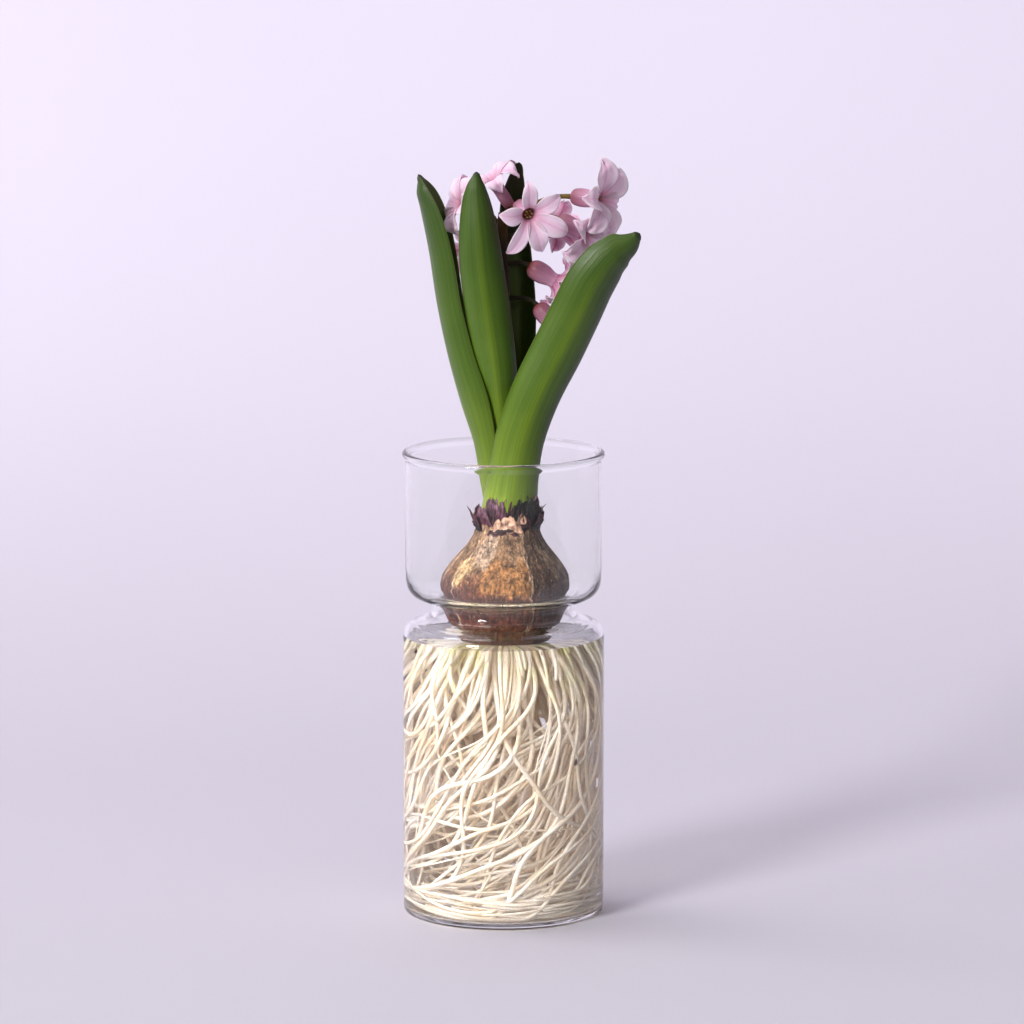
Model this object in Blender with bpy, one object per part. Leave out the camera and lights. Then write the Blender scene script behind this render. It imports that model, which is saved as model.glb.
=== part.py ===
"""Pink hyacinth grown on water in a one-piece glass forcing vase.

All sizes in metres, +Z up. The origin is the middle of the vase's flat foot, on the surface it stands
on. -Y is the side the open floret looks to, +X is the side the largest leaf leans to.
"""
import math
import random

import bmesh
import bpy
import numpy as np

MM = 0.001

# ---- driving dimensions, millimetres ------------------------------------------------------------
GAP = 0.3                    # clearance left between neighbouring solids
VASE_SEGMENTS = 40
WATER_RADIUS = 40.3          # the glass is 40.6 inside
WATER_BOTTOM = 2.7
WATER_TOP = 118.6

# outside of the glass, foot to rim, then the inside, rim to floor: (radius, height)
VASE_OUTSIDE = [(0.0, 0.0), (40.5, 0.0), (41.9, 0.6), (42.5, 2.2), (42.5, 119.0), (42.1, 121.6),
                (40.6, 123.9), (37.6, 125.4), (33.2, 126.9), (30.9, 128.4), (29.8, 130.6), (29.8, 132.6),
                (31.4, 134.2), (36.4, 135.6), (39.8, 138.2), (41.2, 142.0), (41.4, 148.0), (41.4, 194.4),
                (42.5, 195.2), (42.7, 196.5), (41.9, 197.6), (40.6, 197.7)]
VASE_INSIDE = [(39.7, 196.6), (39.7, 148.0), (39.4, 143.2), (37.9, 139.6), (34.6, 137.6), (30.0, 136.5),
               (27.9, 135.0), (27.4, 132.6), (27.6, 130.0), (29.2, 127.0), (33.4, 124.6), (38.0, 123.0),
               (40.0, 121.4), (40.6, 118.8), (40.6, 4.6), (39.2, 2.8), (0.0, 2.4)]

BULB_CENTRE_X = 0.5          # the bulb sits a little to the right of the vase's axis
BULB_LEAN = 0.06             # and leans right, this much for each millimetre above its widest part
BULB_WIDEST = 140.0
BULB_SEGMENTS = 24
# fleshy bulb, under its papery skins: (radius, height)
BULB_PROFILE = [(0.0, 118.0), (13.0, 118.1), (18.4, 119.8), (21.6, 123.0), (23.8, 127.2), (24.8, 131.4),
                (25.8, 135.2), (27.0, 140.0), (26.2, 144.4), (23.6, 149.0), (19.8, 153.8), (15.8, 158.6),
                (13.0, 163.6), (12.0, 168.0), (11.2, 171.6), (0.0, 171.6)]
SKIN_CLEARANCE = 0.55
SKIN_THICKNESS = 0.50
# papery skins: name, first and last angle round the bulb (degrees), first and last height
SKINS = [("tunic_front", -132, -52, 124.5, 166.5), ("tunic_left", 146, 225, 124.5, 164.0),
         ("tunic_right", -49, 38, 125.5, 165.0), ("tunic_back", 41, 143, 125.0, 165.5)]

BASAL_PROFILE = [(0.0, 115.6), (11.5, 115.6), (14.2, 116.2), (14.8, 117.0), (12.4, 117.7), (0.0, 117.7)]

# torn scales round the neck: name, middle angle, half span (degrees), foot and top height
COLLAR = [("collar_scale_1", -100, 24, 167.6, 174.2), ("collar_scale_2", -40, 28, 167.8, 176.4),
          ("collar_scale_3", 25, 28, 168.0, 175.0), ("collar_scale_4", 92, 30, 167.8, 175.8),
          ("collar_scale_5", 164, 32, 167.6, 176.2)]
COLLAR_INNER_RADIUS = 12.9
COLLAR_THICKNESS = 0.8

# leaves: each row is one station along the leaf:
# centre of the trough (x, y, z), the way its back faces (degrees), trough radius, half opening (degrees)
LEAVES = {
    "leaf_left": [(2.2, 0.0, 172.2, 185, 9.2, 62), (-0.6, 0.4, 190, 184, 9.6, 74),
                  (-2.8, 0.6, 205, 183, 10.2, 84), (-7.0, 1.0, 222, 182, 11.3, 90),
                  (-11.8, 1.2, 240, 180, 11.6, 87), (-16.0, 1.5, 260, 178, 11.4, 84),
                  (-19.4, 1.5, 280, 177, 11.0, 85), (-23.0, 1.2, 293, 176, 10.0, 88),
                  (-26.8, 0.8, 303, 175, 8.6, 88), (-30.6, 0.5, 309.5, 175, 6.0, 86),
                  (-33.8, 0.5, 313.0, 175, 2.6, 80),
                  (-35.6, 0.5, 314.4, 175, 0.8, 80)],
    "leaf_middle": [(2.2, 0.0, 172.2, -100, 6.9, 60), (1.5, -0.2, 195, -100, 7.3, 60),
                    (0.6, -0.6, 210, -100, 8.0, 60), (-1.0, -1.2, 222, -99, 8.8, 60),
                    (-2.5, -2.8, 235, -97, 10.0, 61), (-5.6, -5.0, 256, -95, 10.7, 61),
                    (-8.8, -7.0, 276, -92, 10.4, 62), (-10.4, -8.5, 292, -90, 9.3, 62),
                    (-11.2, -10.0, 304, -90, 7.0, 62), (-11.4, -12.0, 311.6, -90, 4.4, 62),
                    (-11.2, -13.8, 315.6, -90, 2.0, 62),
                    (-11.2, -14.6, 317.2, -90, 0.8, 62)],
    "leaf_right": [(2.2, 0.0, 172.2, -90, 11.6, 80), (3.2, -2.3, 181, -89, 11.6, 74),
                   (4.4, -4.8, 191, -88, 11.4, 68), (6.8, -5.8, 206, -84, 11.7, 64),
                   (12.6, -6.8, 224, -80, 12.4, 60), (20.6, -7.6, 242, -76, 13.2, 58),
                   (27.6, -9.2, 258, -73, 13.4, 57), (33.6, -11.0, 271.5, -70, 13.3, 56),
                   (40.0, -13.0, 280.8, -66, 12.4, 57), (46.6, -15.5, 286.4, -62, 10.0, 60),
                   (51.6, -17.8, 289.2, -58, 6.8, 64), (55.4, -19.8, 291.0, -55, 3.2, 66),
                   (57.0, -20.6, 291.8, -55, 0.9, 66)],
    "leaf_back": [(2.2, 0.0, 172.2, 55, 9.4, 56), (2.8, 1.5, 195, 60, 9.6, 58),
                  (3.6, 3.5, 215, 68, 9.4, 60), (4.6, 5.5, 234, 76, 9.2, 60),
                  (5.2, 7.0, 253.5, 82, 9.2, 60), (5.0, 8.5, 270.5, 86, 8.8, 58),
                  (4.6, 9.5, 286, 90, 7.6, 58), (4.2, 10.0, 301, 90, 6.4, 58),
                  (5.4, 11.0, 311, 90, 4.0, 58), (6.6, 11.0, 318.2, 90, 1.4, 58)],
}
LEAF_ROWS = 20
LEAF_COLUMNS = 9
LEAF_MID_THICKNESS = 1.9
LEAF_EDGE_THICKNESS = 0.8

# flower stalk: (x, y, z, radius)
STALK = [(2.2, 0.0, 172.2, 3.5), (1.8, 0.8, 200, 3.5), (0.8, 1.6, 235, 3.3), (-0.4, 2.2, 268, 3.0),
         (-0.6, 3.0, 288, 2.5), (-0.4, 3.4, 298, 1.7)]
PEDICEL_RADIUS = 1.0

# florets: name, middle of the throat (x, y, z), the way it faces, turn about its own axis (degrees),
# petal length factor, how far the petals bend back (0 flat .. 1 rolled), height where its stalk joins
FLORETS = [
    ("floret_front", (11.0, -17.0, 299.2), (0.34, -0.92, -0.20), 22, 1.20, 0.15, 288),
    ("floret_top", (-7.0, 8.0, 315.0), (-0.45, 0.30, 0.84), 10, 0.75, 0.9, 296),
    ("floret_left", (-15.6, 6.5, 298.5), (-0.90, -0.10, 0.42), 0, 0.68, 0.9, 290),
    ("floret_right", (44.0, 6.0, 301.5), (0.97, 0.05, 0.16), 15, 1.0, 0.5, 294),
    ("floret_right_low", (35.0, 1.0, 287.0), (0.80, -0.28, -0.50), 30, 0.85, 0.6, 284),
    ("floret_low", (22.6, 4.0, 266.0), (0.84, 0.10, -0.52), 8, 0.70, 0.6, 276),
    ("floret_lowest", (20.6, 0.0, 248.6), (0.65, -0.10, -0.75), 18, 0.75, 0.7, 262),
    ("floret_back", (22.5, 23.0, 290.0), (0.50, 0.85, 0.10), 12, 0.80, 0.5, 286),
    ("floret_back_left", (-13.0, 25.0, 279.5), (-0.45, 0.88, 0.10), 5, 0.75, 0.6, 279),
    ("floret_back_low", (-8.5, 24.0, 254.0), (-0.20, 0.94, -0.28), 20, 0.75, 0.7, 266),
]
# floret tube: (radius, distance along the axis), calyx end to throat
TUBE_OUTSIDE = [(1.2, 0.0), (3.2, 2.0), (3.5, 6.0), (2.9, 10.6), (3.6, 14.0)]
TUBE_INSIDE = [(1.7, 7.0), (2.0, 11.0), (2.75, 14.2)]
TUBE_LENGTH = 14.0
# the six stamens round the pistil, as one star-shaped bundle standing in the tube
STAMEN_OUTER, STAMEN_INNER = 1.65, 0.7         # radius at an anther and between two
STAMEN_SPAN = (9.4, 13.2)                      # from, to, along the axis
PETAL_REACH = [3.6, 7.0, 11.2, 15.2]           # distance out from the axis
PETAL_RISE_FLAT = [14.0, 16.1, 17.1, 17.3]     # height along the axis, petals spread flat
PETAL_RISE_ROLLED = [14.0, 15.9, 14.7, 10.9]   # the same, petals rolled back
PETAL_HALF_WIDTH = [1.8, 3.3, 3.6, 0.9]
PETAL_THICKNESS = 0.7

# roots, three rings one inside the other: count, twist round the vase on the way down (degrees),
# route (radius, height), radius of the strand at its top and tip
ROOT_RINGS = [
    (8, 95, [(13.0, 114.9), (15.6, 112.0), (24, 108.5), (32, 103), (36.6, 93), (37.6, 78), (37.2, 60),
             (37.6, 42), (37.0, 24), (35.0, 12), (32.0, 8.0)], 1.25, 0.8),
    (5, -80, [(8.0, 114.9), (9.0, 111.0), (13, 103), (19.5, 95), (24.2, 84), (25.6, 68), (25.0, 50),
              (25.6, 34), (24.4, 20), (22.0, 12), (19.0, 8.5)], 1.25, 0.8),
    (3, 55, [(3.6, 114.9), (4.2, 110.0), (7, 100), (10.5, 89), (12.6, 76), (13.0, 60), (12.4, 45),
             (13.0, 31), (12.0, 20), (9.5, 13), (7.0, 9.0)], 1.2, 0.75),
]
ROOT_SIDES = 5
ROOT_ROWS = 13


# ---- helpers -------------------------------------------------------------------------------------
def paint(thing, colour, roughness):
    """Give a piece a plain material of its own."""
    material = bpy.data.materials.new(thing.name + "_material")
    material.use_nodes = True
    shader = material.node_tree.nodes["Principled BSDF"]
    shader.inputs["Base Color"].default_value = (*colour, 1.0)
    shader.inputs["Roughness"].default_value = roughness
    shader.inputs["Metallic"].default_value = 0.0
    thing.data.materials.append(material)


def solid(name, points, faces, colour=None, roughness=0.5, smooth=True):
    """Close a list of points (mm) and faces into one piece with its faces outwards."""
    mesh = bpy.data.meshes.new(name)
    bm = bmesh.new()
    corners = [bm.verts.new([c * MM for c in p]) for p in points]
    for face in faces:
        bm.faces.new([corners[i] for i in face])
    bmesh.ops.recalc_face_normals(bm, faces=bm.faces)
    if bm.calc_volume(signed=True) < 0:
        bmesh.ops.reverse_faces(bm, faces=bm.faces)
    for face in bm.faces:
        face.smooth = smooth
    bm.to_mesh(mesh)
    bm.free()
    thing = bpy.data.objects.new(name, mesh)
    bpy.context.scene.collection.objects.link(thing)
    if colour:
        paint(thing, colour, roughness)
    return thing


def turned(name, profile, segments, colour=None, roughness=0.5, centre=lambda z: 0.0):
    """Turn a profile that starts and ends on the axis into a closed round piece."""
    points, rings = [], []
    for r, z in profile:
        if r < 1e-6:
            rings.append([len(points)])
            points.append((centre(z), 0.0, z))
            continue
        ring = []
        for k in range(segments):
            a = 2 * math.pi * k / segments
            ring.append(len(points))
            points.append((centre(z) + r * math.cos(a), r * math.sin(a), z))
        rings.append(ring)
    faces = []
    for low, high in zip(rings, rings[1:]):
        for k in range(segments):
            n = (k + 1) % segments
            if len(low) == 1:
                faces.append((low[0], high[n], high[k]))
            elif len(high) == 1:
                faces.append((low[k], low[n], high[0]))
            else:
                faces.append((low[k], low[n], high[n], high[k]))
    return solid(name, points, faces, colour, roughness)


def smooth_rows(stations, count):
    """Read a list of stations as a smooth curve and return it at `count` even steps."""
    s = np.array(stations, float)
    s = np.vstack([2 * s[0] - s[1], s, 2 * s[-1] - s[-2]])
    rows = []
    for t in np.linspace(0, len(s) - 3 - 1e-9, count):
        i = int(t)
        f = t - i
        a, b, c, d = s[i:i + 4]
        rows.append(0.5 * ((2 * b) + (c - a) * f + (2 * a - 5 * b + 4 * c - d) * f * f
                           + (3 * b - a - 3 * c + d) * f ** 3))
    return np.array(rows)


def frames(path):
    """A tangent and two across-directions at each point of a path, without sudden turns."""
    tangents = np.gradient(path, axis=0)
    tangents /= np.linalg.norm(tangents, axis=1)[:, None]
    side = np.cross(tangents[0], (0.0, 1.0, 0.0) if abs(tangents[0][1]) < 0.8 else (1.0, 0.0, 0.0))
    out = []
    for t in tangents:
        side = side - t * side.dot(t)
        side /= np.linalg.norm(side)
        out.append((t, side, np.cross(t, side)))
    return out


def tube_mesh(path, radii, sides, axes=None):
    """Points and faces of a closed round strand along a path."""
    points, faces = [], []
    for p, r, (_, u, v) in zip(path, radii, axes or frames(path)):
        for k in range(sides):
            a = 2 * math.pi * k / sides
            points.append(p + r * (math.cos(a) * u + math.sin(a) * v))
    for i in range(len(path) - 1):
        for k in range(sides):
            n = (k + 1) % sides
            faces.append((i * sides + k, i * sides + n, (i + 1) * sides + n, (i + 1) * sides + k))
    faces.append(tuple(range(sides)))
    faces.append(tuple(range((len(path) - 1) * sides, len(path) * sides)))
    return points, faces


def cut(thing, cutter):
    """Cut one piece out of another."""
    cutter.hide_render = True
    cutter.display_type = "WIRE"
    step = thing.modifiers.new("cut_" + cutter.name, "BOOLEAN")
    step.operation, step.solver, step.object = "DIFFERENCE", "EXACT", cutter


def join(thing, other):
    """Join another piece on."""
    other.hide_render = True
    other.display_type = "WIRE"
    step = thing.modifiers.new("join_" + other.name, "BOOLEAN")
    step.operation, step.solver, step.object = "UNION", "EXACT", other


# ---- pieces --------------------------------------------------------------------------------------
def make_vase():
    turned("glass_vase", VASE_OUTSIDE + VASE_INSIDE, VASE_SEGMENTS, (0.86, 0.9, 0.9), 0.03)


def bulb_centre(z):
    """How far right of the vase's axis the middle of the bulb is at a height."""
    return BULB_CENTRE_X + BULB_LEAN * max(0.0, z - BULB_WIDEST)


def skin_radius(z):
    """Radius of the fleshy bulb at a height."""
    heights = [p[1] for p in BULB_PROFILE[1:-1]]
    radii = [p[0] for p in BULB_PROFILE[1:-1]]
    return float(np.interp(z, heights, radii))


def make_bulb():
    turned("bulb", BULB_PROFILE, BULB_SEGMENTS, (0.42, 0.26, 0.15), 0.6, bulb_centre)
    turned("basal_plate", BASAL_PROFILE, BULB_SEGMENTS, (0.50, 0.22, 0.06), 0.6, bulb_centre)


def shell_patch(name, first, last, rows, colour, roughness, columns):
    """A thin curved sheet round the bulb's axis. rows: (height, inner radius, outer radius, top trim)."""
    angles = np.radians(np.linspace(first, last, columns))
    points = []
    for z, r_in, r_out, trims in rows:
        for a, trim in zip(angles, trims):
            points.append((bulb_centre(z) + r_in * math.cos(a), r_in * math.sin(a), z + trim))
        for a, trim in zip(angles, trims):
            points.append((bulb_centre(z) + r_out * math.cos(a), r_out * math.sin(a), z + trim))
    n, faces = columns, []
    row = 2 * n
    for i in range(len(rows) - 1):
        lo, hi = i * row, (i + 1) * row
        for k in range(n - 1):
            faces.append((lo + k, hi + k, hi + k + 1, lo + k + 1))
            faces.append((lo + n + k, lo + n + k + 1, hi + n + k + 1, hi + n + k))
        faces.append((lo, lo + n, hi + n, hi))
        faces.append((lo + n - 1, hi + n - 1, hi + 2 * n - 1, lo + 2 * n - 1))
    top = (len(rows) - 1) * row
    for k in range(n - 1):
        faces.append((k, k + 1, n + k + 1, n + k))
        faces.append((top + k, top + n + k, top + n + k + 1, top + k + 1))
    return solid(name, points, faces, colour, roughness)


def make_skins():
    shades = {"tunic_front": (0.55, 0.33, 0.17), "tunic_left": (0.60, 0.42, 0.30),
              "tunic_right": (0.22, 0.13, 0.10), "tunic_back": (0.38, 0.22, 0.13)}
    chance = random.Random(11)
    for name, first, last, low, high in SKINS:
        columns = 8
        heights = [low] + [p[1] for p in BULB_PROFILE[1:-1] if low + 1.0 < p[1] < high - 1.0] + [high]
        rows = []
        for z in heights:
            r = skin_radius(z) + SKIN_CLEARANCE
            edge = z in (low, high)
            trims = [chance.uniform(-0.4, 0.4) if edge else 0.0 for _ in range(columns)]
            rows.append((z, r, r + SKIN_THICKNESS, trims))
        shell_patch(name, first, last, rows, shades[name], 0.7, columns)


def make_collar():
    chance = random.Random(5)
    for name, middle, span, low, high in COLLAR:
        columns = 6
        rows = []
        for part, flare in ((0.0, 0.0), (0.5, 0.3), (1.0, 1.3)):
            z = low + part * (high - low)
            r = COLLAR_INNER_RADIUS + flare
            ragged = [chance.uniform(-1.6, 0.9) * part for _ in range(columns)]
            rows.append((z, r, r + COLLAR_THICKNESS * (1 - 0.35 * part), ragged))
        shell_patch(name, middle - span, middle + span, rows, (0.13, 0.03, 0.07), 0.6, columns)


def make_leaf(name, stations):
    rows = smooth_rows(stations, LEAF_ROWS)
    middle = rows[:, :3]
    tangents = np.gradient(middle, axis=0)
    tangents /= np.linalg.norm(tangents, axis=1)[:, None]
    tangents[0] = (0, 0, 1)
    points, n = [], LEAF_COLUMNS
    for (x, y, z, facing, radius, half), t in zip(rows, tangents):
        out = np.array([math.cos(math.radians(facing)), math.sin(math.radians(facing)), 0.0])
        out -= t * out.dot(t)
        out /= np.linalg.norm(out)
        across = np.cross(t, out)
        spread = np.radians(np.linspace(-half, half, n))
        for inner in (0, 1):
            for a in spread:
                share = 1 - (a / math.radians(half)) ** 2
                thick = LEAF_EDGE_THICKNESS + (LEAF_MID_THICKNESS - LEAF_EDGE_THICKNESS) * share
                r = radius - inner * min(thick, 0.6 * radius)
                points.append(np.array([x, y, z]) + r * (math.cos(a) * out + math.sin(a) * across))
    faces, row = [], 2 * n
    for i in range(LEAF_ROWS - 1):
        lo, hi = i * row, (i + 1) * row
        for k in range(n - 1):
            faces.append((lo + k, lo + k + 1, hi + k + 1, hi + k))
            faces.append((lo + n + k, hi + n + k, hi + n + k + 1, lo + n + k + 1))
        faces.append((lo, hi, hi + n, lo + n))
        faces.append((lo + n - 1, lo + 2 * n - 1, hi + 2 * n - 1, hi + n - 1))
    top = (LEAF_ROWS - 1) * row
    for k in range(n - 1):
        faces.append((k, n + k, n + k + 1, k + 1))
        faces.append((top + k, top + k + 1, top + n + k + 1, top + n + k))
    solid(name, points, faces, (0.20, 0.36, 0.12), 0.45)


def floret_axes(facing, turn):
    """The floret's own axes: along its tube, and two across, turned about the tube."""
    along = np.array(facing, float)
    along /= np.linalg.norm(along)
    side = np.cross(along, (0, 0, 1) if abs(along[2]) < 0.9 else (0, 1, 0))
    side /= np.linalg.norm(side)
    up = np.cross(side, along)
    c, s = math.cos(math.radians(turn)), math.sin(math.radians(turn))
    return along, c * side + s * up, c * up - s * side


def floret_foot(throat, facing):
    along = np.array(facing, float)
    return np.array(throat, float) - TUBE_LENGTH * along / np.linalg.norm(along)


def make_floret(name, throat, facing, turn, size, rolled):
    """One fused floret: a swollen tube that opens into six petals, in one closed piece."""
    along, side, up = floret_axes(facing, turn)
    foot = floret_foot(throat, facing)
    points, faces = [], []

    def put(r, angle, s):
        points.append(foot + along * s + r * (math.cos(angle) * side + math.sin(angle) * up))
        return len(points) - 1

    around = [math.pi * k / 6 for k in range(12)]
    outside = [[put(r, a, s) for a in around] for r, s in TUBE_OUTSIDE]
    inside = [[put(r, a, s) for a in around] for r, s in TUBE_INSIDE]
    faces.append(tuple(outside[0]))
    faces.append(tuple(inside[0]))
    for rings in (outside, inside):
        for low, high in zip(rings, rings[1:]):
            for k in range(12):
                n = (k + 1) % 12
                faces.append((low[k], low[n], high[n], high[k]))
    rise = [f + (b - f) * rolled for f, b in zip(PETAL_RISE_FLAT, PETAL_RISE_ROLLED)]
    for petal in range(6):
        k = 2 * petal
        mid = around[k]
        below = [[outside[-1][k - 1], outside[-1][k], outside[-1][(k + 1) % 12]]]
        above = [[inside[-1][k - 1], inside[-1][k], inside[-1][(k + 1) % 12]]]
        for j in (1, 2, 3):
            reach = PETAL_REACH[0] + (PETAL_REACH[j] - PETAL_REACH[0]) * size
            half = PETAL_HALF_WIDTH[j] * (0.5 + 0.5 * size)
            out_dir = math.cos(mid) * side + math.sin(mid) * up
            cross = -math.sin(mid) * side + math.cos(mid) * up
            slope = np.array([PETAL_REACH[j] - PETAL_REACH[j - 1], rise[j] - rise[j - 1]])
            slope /= np.linalg.norm(slope)
            normal = along * slope[0] - out_dir * slope[1]
            rows = []
            for lift in (0.0, PETAL_THICKNESS * (1.0 if j < 3 else 0.7)):
                row = []
                for w in (-1, 0, 1):
                    cup = 0.5 * abs(w)
                    spot = (foot + out_dir * reach + along * (rise[j] + cup) + cross * half * w
                            + normal * lift)
                    points.append(spot)
                    row.append(len(points) - 1)
                rows.append(row)
            below.append(rows[0])
            above.append(rows[1])
        for j in range(3):
            for w in (0, 1):
                faces.append((below[j][w], below[j][w + 1], below[j + 1][w + 1], below[j + 1][w]))
                faces.append((above[j][w], above[j + 1][w], above[j + 1][w + 1], above[j][w + 1]))
            for w in (0, 2):
                faces.append((below[j][w], below[j + 1][w], above[j + 1][w], above[j][w]))
        for w in (0, 1):
            faces.append((below[3][w], below[3][w + 1], above[3][w + 1], above[3][w]))
    solid(name, points, faces, (0.72, 0.42, 0.56), 0.5)


def make_stamens(name, throat, facing, turn):
    """Six anthers round a pistil, in one small closed piece inside the tube."""
    along, side, up = floret_axes(facing, turn)
    foot = floret_foot(throat, facing)
    points = []
    for s, swell in ((STAMEN_SPAN[0], 0.8), (STAMEN_SPAN[1], 1.0)):
        for k in range(12):
            r = swell * (STAMEN_OUTER if k % 2 == 0 else STAMEN_INNER)
            a = math.pi * k / 6
            points.append(foot + along * s + r * (math.cos(a) * side + math.sin(a) * up))
    faces = [tuple(range(12)), tuple(range(12, 24))]
    faces += [(k, (k + 1) % 12, 12 + (k + 1) % 12, 12 + k) for k in range(12)]
    solid(name, points, faces, (0.45, 0.28, 0.08), 0.6, smooth=False)


def make_flowers():
    stalk = smooth_rows(STALK, 9)
    points, faces = tube_mesh(stalk[:, :3], stalk[:, 3], 8)
    stem = solid("flower_stalk", points, faces, (0.33, 0.30, 0.14), 0.55)
    heights = [p[2] for p in STALK]
    for name, throat, facing, turn, size, rolled, joint in FLORETS:
        make_floret(name, throat, facing, turn, size, rolled)
        make_stamens(name.replace("floret", "stamens"), throat, facing, turn)
        root = np.array([np.interp(joint, heights, [p[0] for p in STALK]),
                         np.interp(joint, heights, [p[1] for p in STALK]), joint])
        along = np.array(facing, float) / np.linalg.norm(facing)
        end = floret_foot(throat, facing) - along * GAP
        reach = np.linalg.norm(end - root)
        bend_a = root + (end - root) * 0.45 + np.array([0, 0, 0.10 * reach])
        bend_b = end - along * 0.25 * reach
        path = smooth_rows([root, bend_a, bend_b, end], 6)
        path[-2] = path[-1] - along * max(0.8, 0.2 * reach)
        points, faces = tube_mesh(path, [PEDICEL_RADIUS] * len(path), 5)
        join(stem, solid("pedicel_of_" + name, points, faces))


def root_route(ring, index, rows):
    """The middle line of one root: down its ring, round the vase, with a gentle wave of its own."""
    count, twist, route, _, _ = ROOT_RINGS[ring]
    line = smooth_rows(route, rows)
    out = []
    for i, (r, z) in enumerate(line):
        part = i / (rows - 1)
        wave = 5.0 * math.sin(2 * math.pi * (1.6 * part + index / count * 2.0 + 0.3 * ring)) * part
        angle = math.radians(360.0 * index / count + 17 * ring + 5 + twist * part ** 1.4 + wave)
        out.append((BULB_CENTRE_X * (1 - part) + r * math.cos(angle), r * math.sin(angle), z))
    return np.array(out)


def make_roots_and_water():
    water = turned("water", [(0.0, WATER_BOTTOM + 0.4), (39.0, WATER_BOTTOM + 0.5), (WATER_RADIUS, 4.9),
                             (WATER_RADIUS, WATER_TOP), (0.0, WATER_TOP)], VASE_SEGMENTS, (0.8, 0.88, 0.88),
                   0.02)
    well = [(0.0, 115.24), (11.9, 115.24), (14.9, 116.0), (15.4, 117.4), (18.8, 119.2), (22.4, 122.6),
            (22.8, 126.0), (0.0, 126.0)]
    cut(water, turned("well_for_bulb", well, BULB_SEGMENTS, centre=bulb_centre))
    number = 0
    for ring, (count, _, _, top_radius, tip_radius) in enumerate(ROOT_RINGS):
        for index in range(count):
            number += 1
            name = "root_%02d" % number
            path = root_route(ring, index, ROOT_ROWS)
            radii = np.linspace(top_radius, tip_radius, ROOT_ROWS)
            points, faces = tube_mesh(path, radii, ROOT_SIDES)
            solid(name, points, faces, (0.80, 0.76, 0.60), 0.5)
            first, last = path[0], path[-1]
            longer = np.vstack([first + (0, 0, 1.6), path, last + (last - path[-2]) * 0.06])
            axes = frames(path)
            axes = [axes[0]] + axes + [axes[-1]]
            wider = np.concatenate([[top_radius], radii, [tip_radius]]) + GAP + 0.07
            points, faces = tube_mesh(longer, wider, ROOT_SIDES, axes)
            cut(water, solid("way_for_" + name, points, faces))


for old in list(bpy.data.objects):
    bpy.data.objects.remove(old)
make_vase()
make_bulb()
make_skins()
make_collar()
for leaf_name, leaf_stations in LEAVES.items():
    make_leaf(leaf_name, leaf_stations)
make_flowers()
make_roots_and_water()
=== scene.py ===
# %% [markdown]
# # A pink hyacinth grown on water
# A bulb sits in the waist of a blown glass vase. Its roots fill the water below, its leaves and flower
# stand above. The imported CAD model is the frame: every piece here is made in its coordinates, in metres,
# so nothing has to be fitted. Finer pieces are put over the CAD nodes, and each one gets its real finish.

# %% Load the frame
import math
import random

import bmesh
import bpy
from mathutils import Matrix, Vector, noise


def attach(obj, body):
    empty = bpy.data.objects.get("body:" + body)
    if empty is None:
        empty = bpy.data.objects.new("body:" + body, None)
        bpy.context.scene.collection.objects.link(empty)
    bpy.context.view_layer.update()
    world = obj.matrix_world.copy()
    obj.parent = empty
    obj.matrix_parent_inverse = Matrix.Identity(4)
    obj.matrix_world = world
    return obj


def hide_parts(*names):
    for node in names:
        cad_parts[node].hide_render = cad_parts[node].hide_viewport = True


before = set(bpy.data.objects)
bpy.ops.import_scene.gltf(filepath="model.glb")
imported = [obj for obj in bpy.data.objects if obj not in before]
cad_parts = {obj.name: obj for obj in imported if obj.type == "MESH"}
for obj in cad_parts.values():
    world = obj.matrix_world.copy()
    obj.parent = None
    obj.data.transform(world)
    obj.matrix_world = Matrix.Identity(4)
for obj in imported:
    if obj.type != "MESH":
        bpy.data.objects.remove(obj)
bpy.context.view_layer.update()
MM = 0.001
noise.seed_set(5)          # noise vectors take their offsets from this, so every run is the same

# %% [markdown]
# The camera stands 2.75 m in front of the vase, a little above its rim, with a long lens, so the round
# openings show as narrow ovals. It comes first, because everything else is judged through it.

# %% Camera
LENS = 232.6               # mm, on a sensor 36 mm wide
CAMERA_AT = (0.0036, -2.75, 0.6228)
TILT_DOWN = 9.32           # degrees below level

camera = bpy.data.objects.new("camera", bpy.data.cameras.new("camera"))
camera.data.sensor_width = 36.0
camera.data.lens = LENS
camera.location = CAMERA_AT
camera.rotation_euler = (math.radians(90 - TILT_DOWN), 0, 0)
bpy.context.scene.collection.objects.link(camera)
bpy.context.scene.camera = camera
bpy.context.scene.view_settings.view_transform = "Standard"
print("lens", LENS, "mm")

# %% [markdown]
# A node tree is easier to read as a few plain calls: `add_node` makes a node with its values set,
# and `wire` joins two sockets. The other helpers are the small groups of nodes that come back in nearly
# every finish: a ramp, a noise, a mix of colours or of shaders, a bump, and the places a pattern reads.

# %% Helpers for finishes
def add_node(tree, kind, values=None, **settings):
    made = tree.nodes.new(kind)
    for name, value in settings.items():
        setattr(made, name, value)
    for socket, value in (values or {}).items():
        made.inputs[socket].default_value = value
    return made


def wire(tree, source, target):
    tree.links.new(source, target)


def new_finish(name, **sockets):
    """A Principled material; constants go straight onto the shader's own sockets."""
    finish = bpy.data.materials.new(name)
    finish.use_nodes = True
    shader = finish.node_tree.nodes["Principled BSDF"]
    for socket, value in sockets.items():
        shader.inputs[socket.replace("_", " ")].default_value = value
    if "Subsurface_Weight" in sockets:
        shader.inputs["Subsurface Radius"].default_value = (1.0, 0.85, 0.75)
    return finish, finish.node_tree, shader


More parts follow.
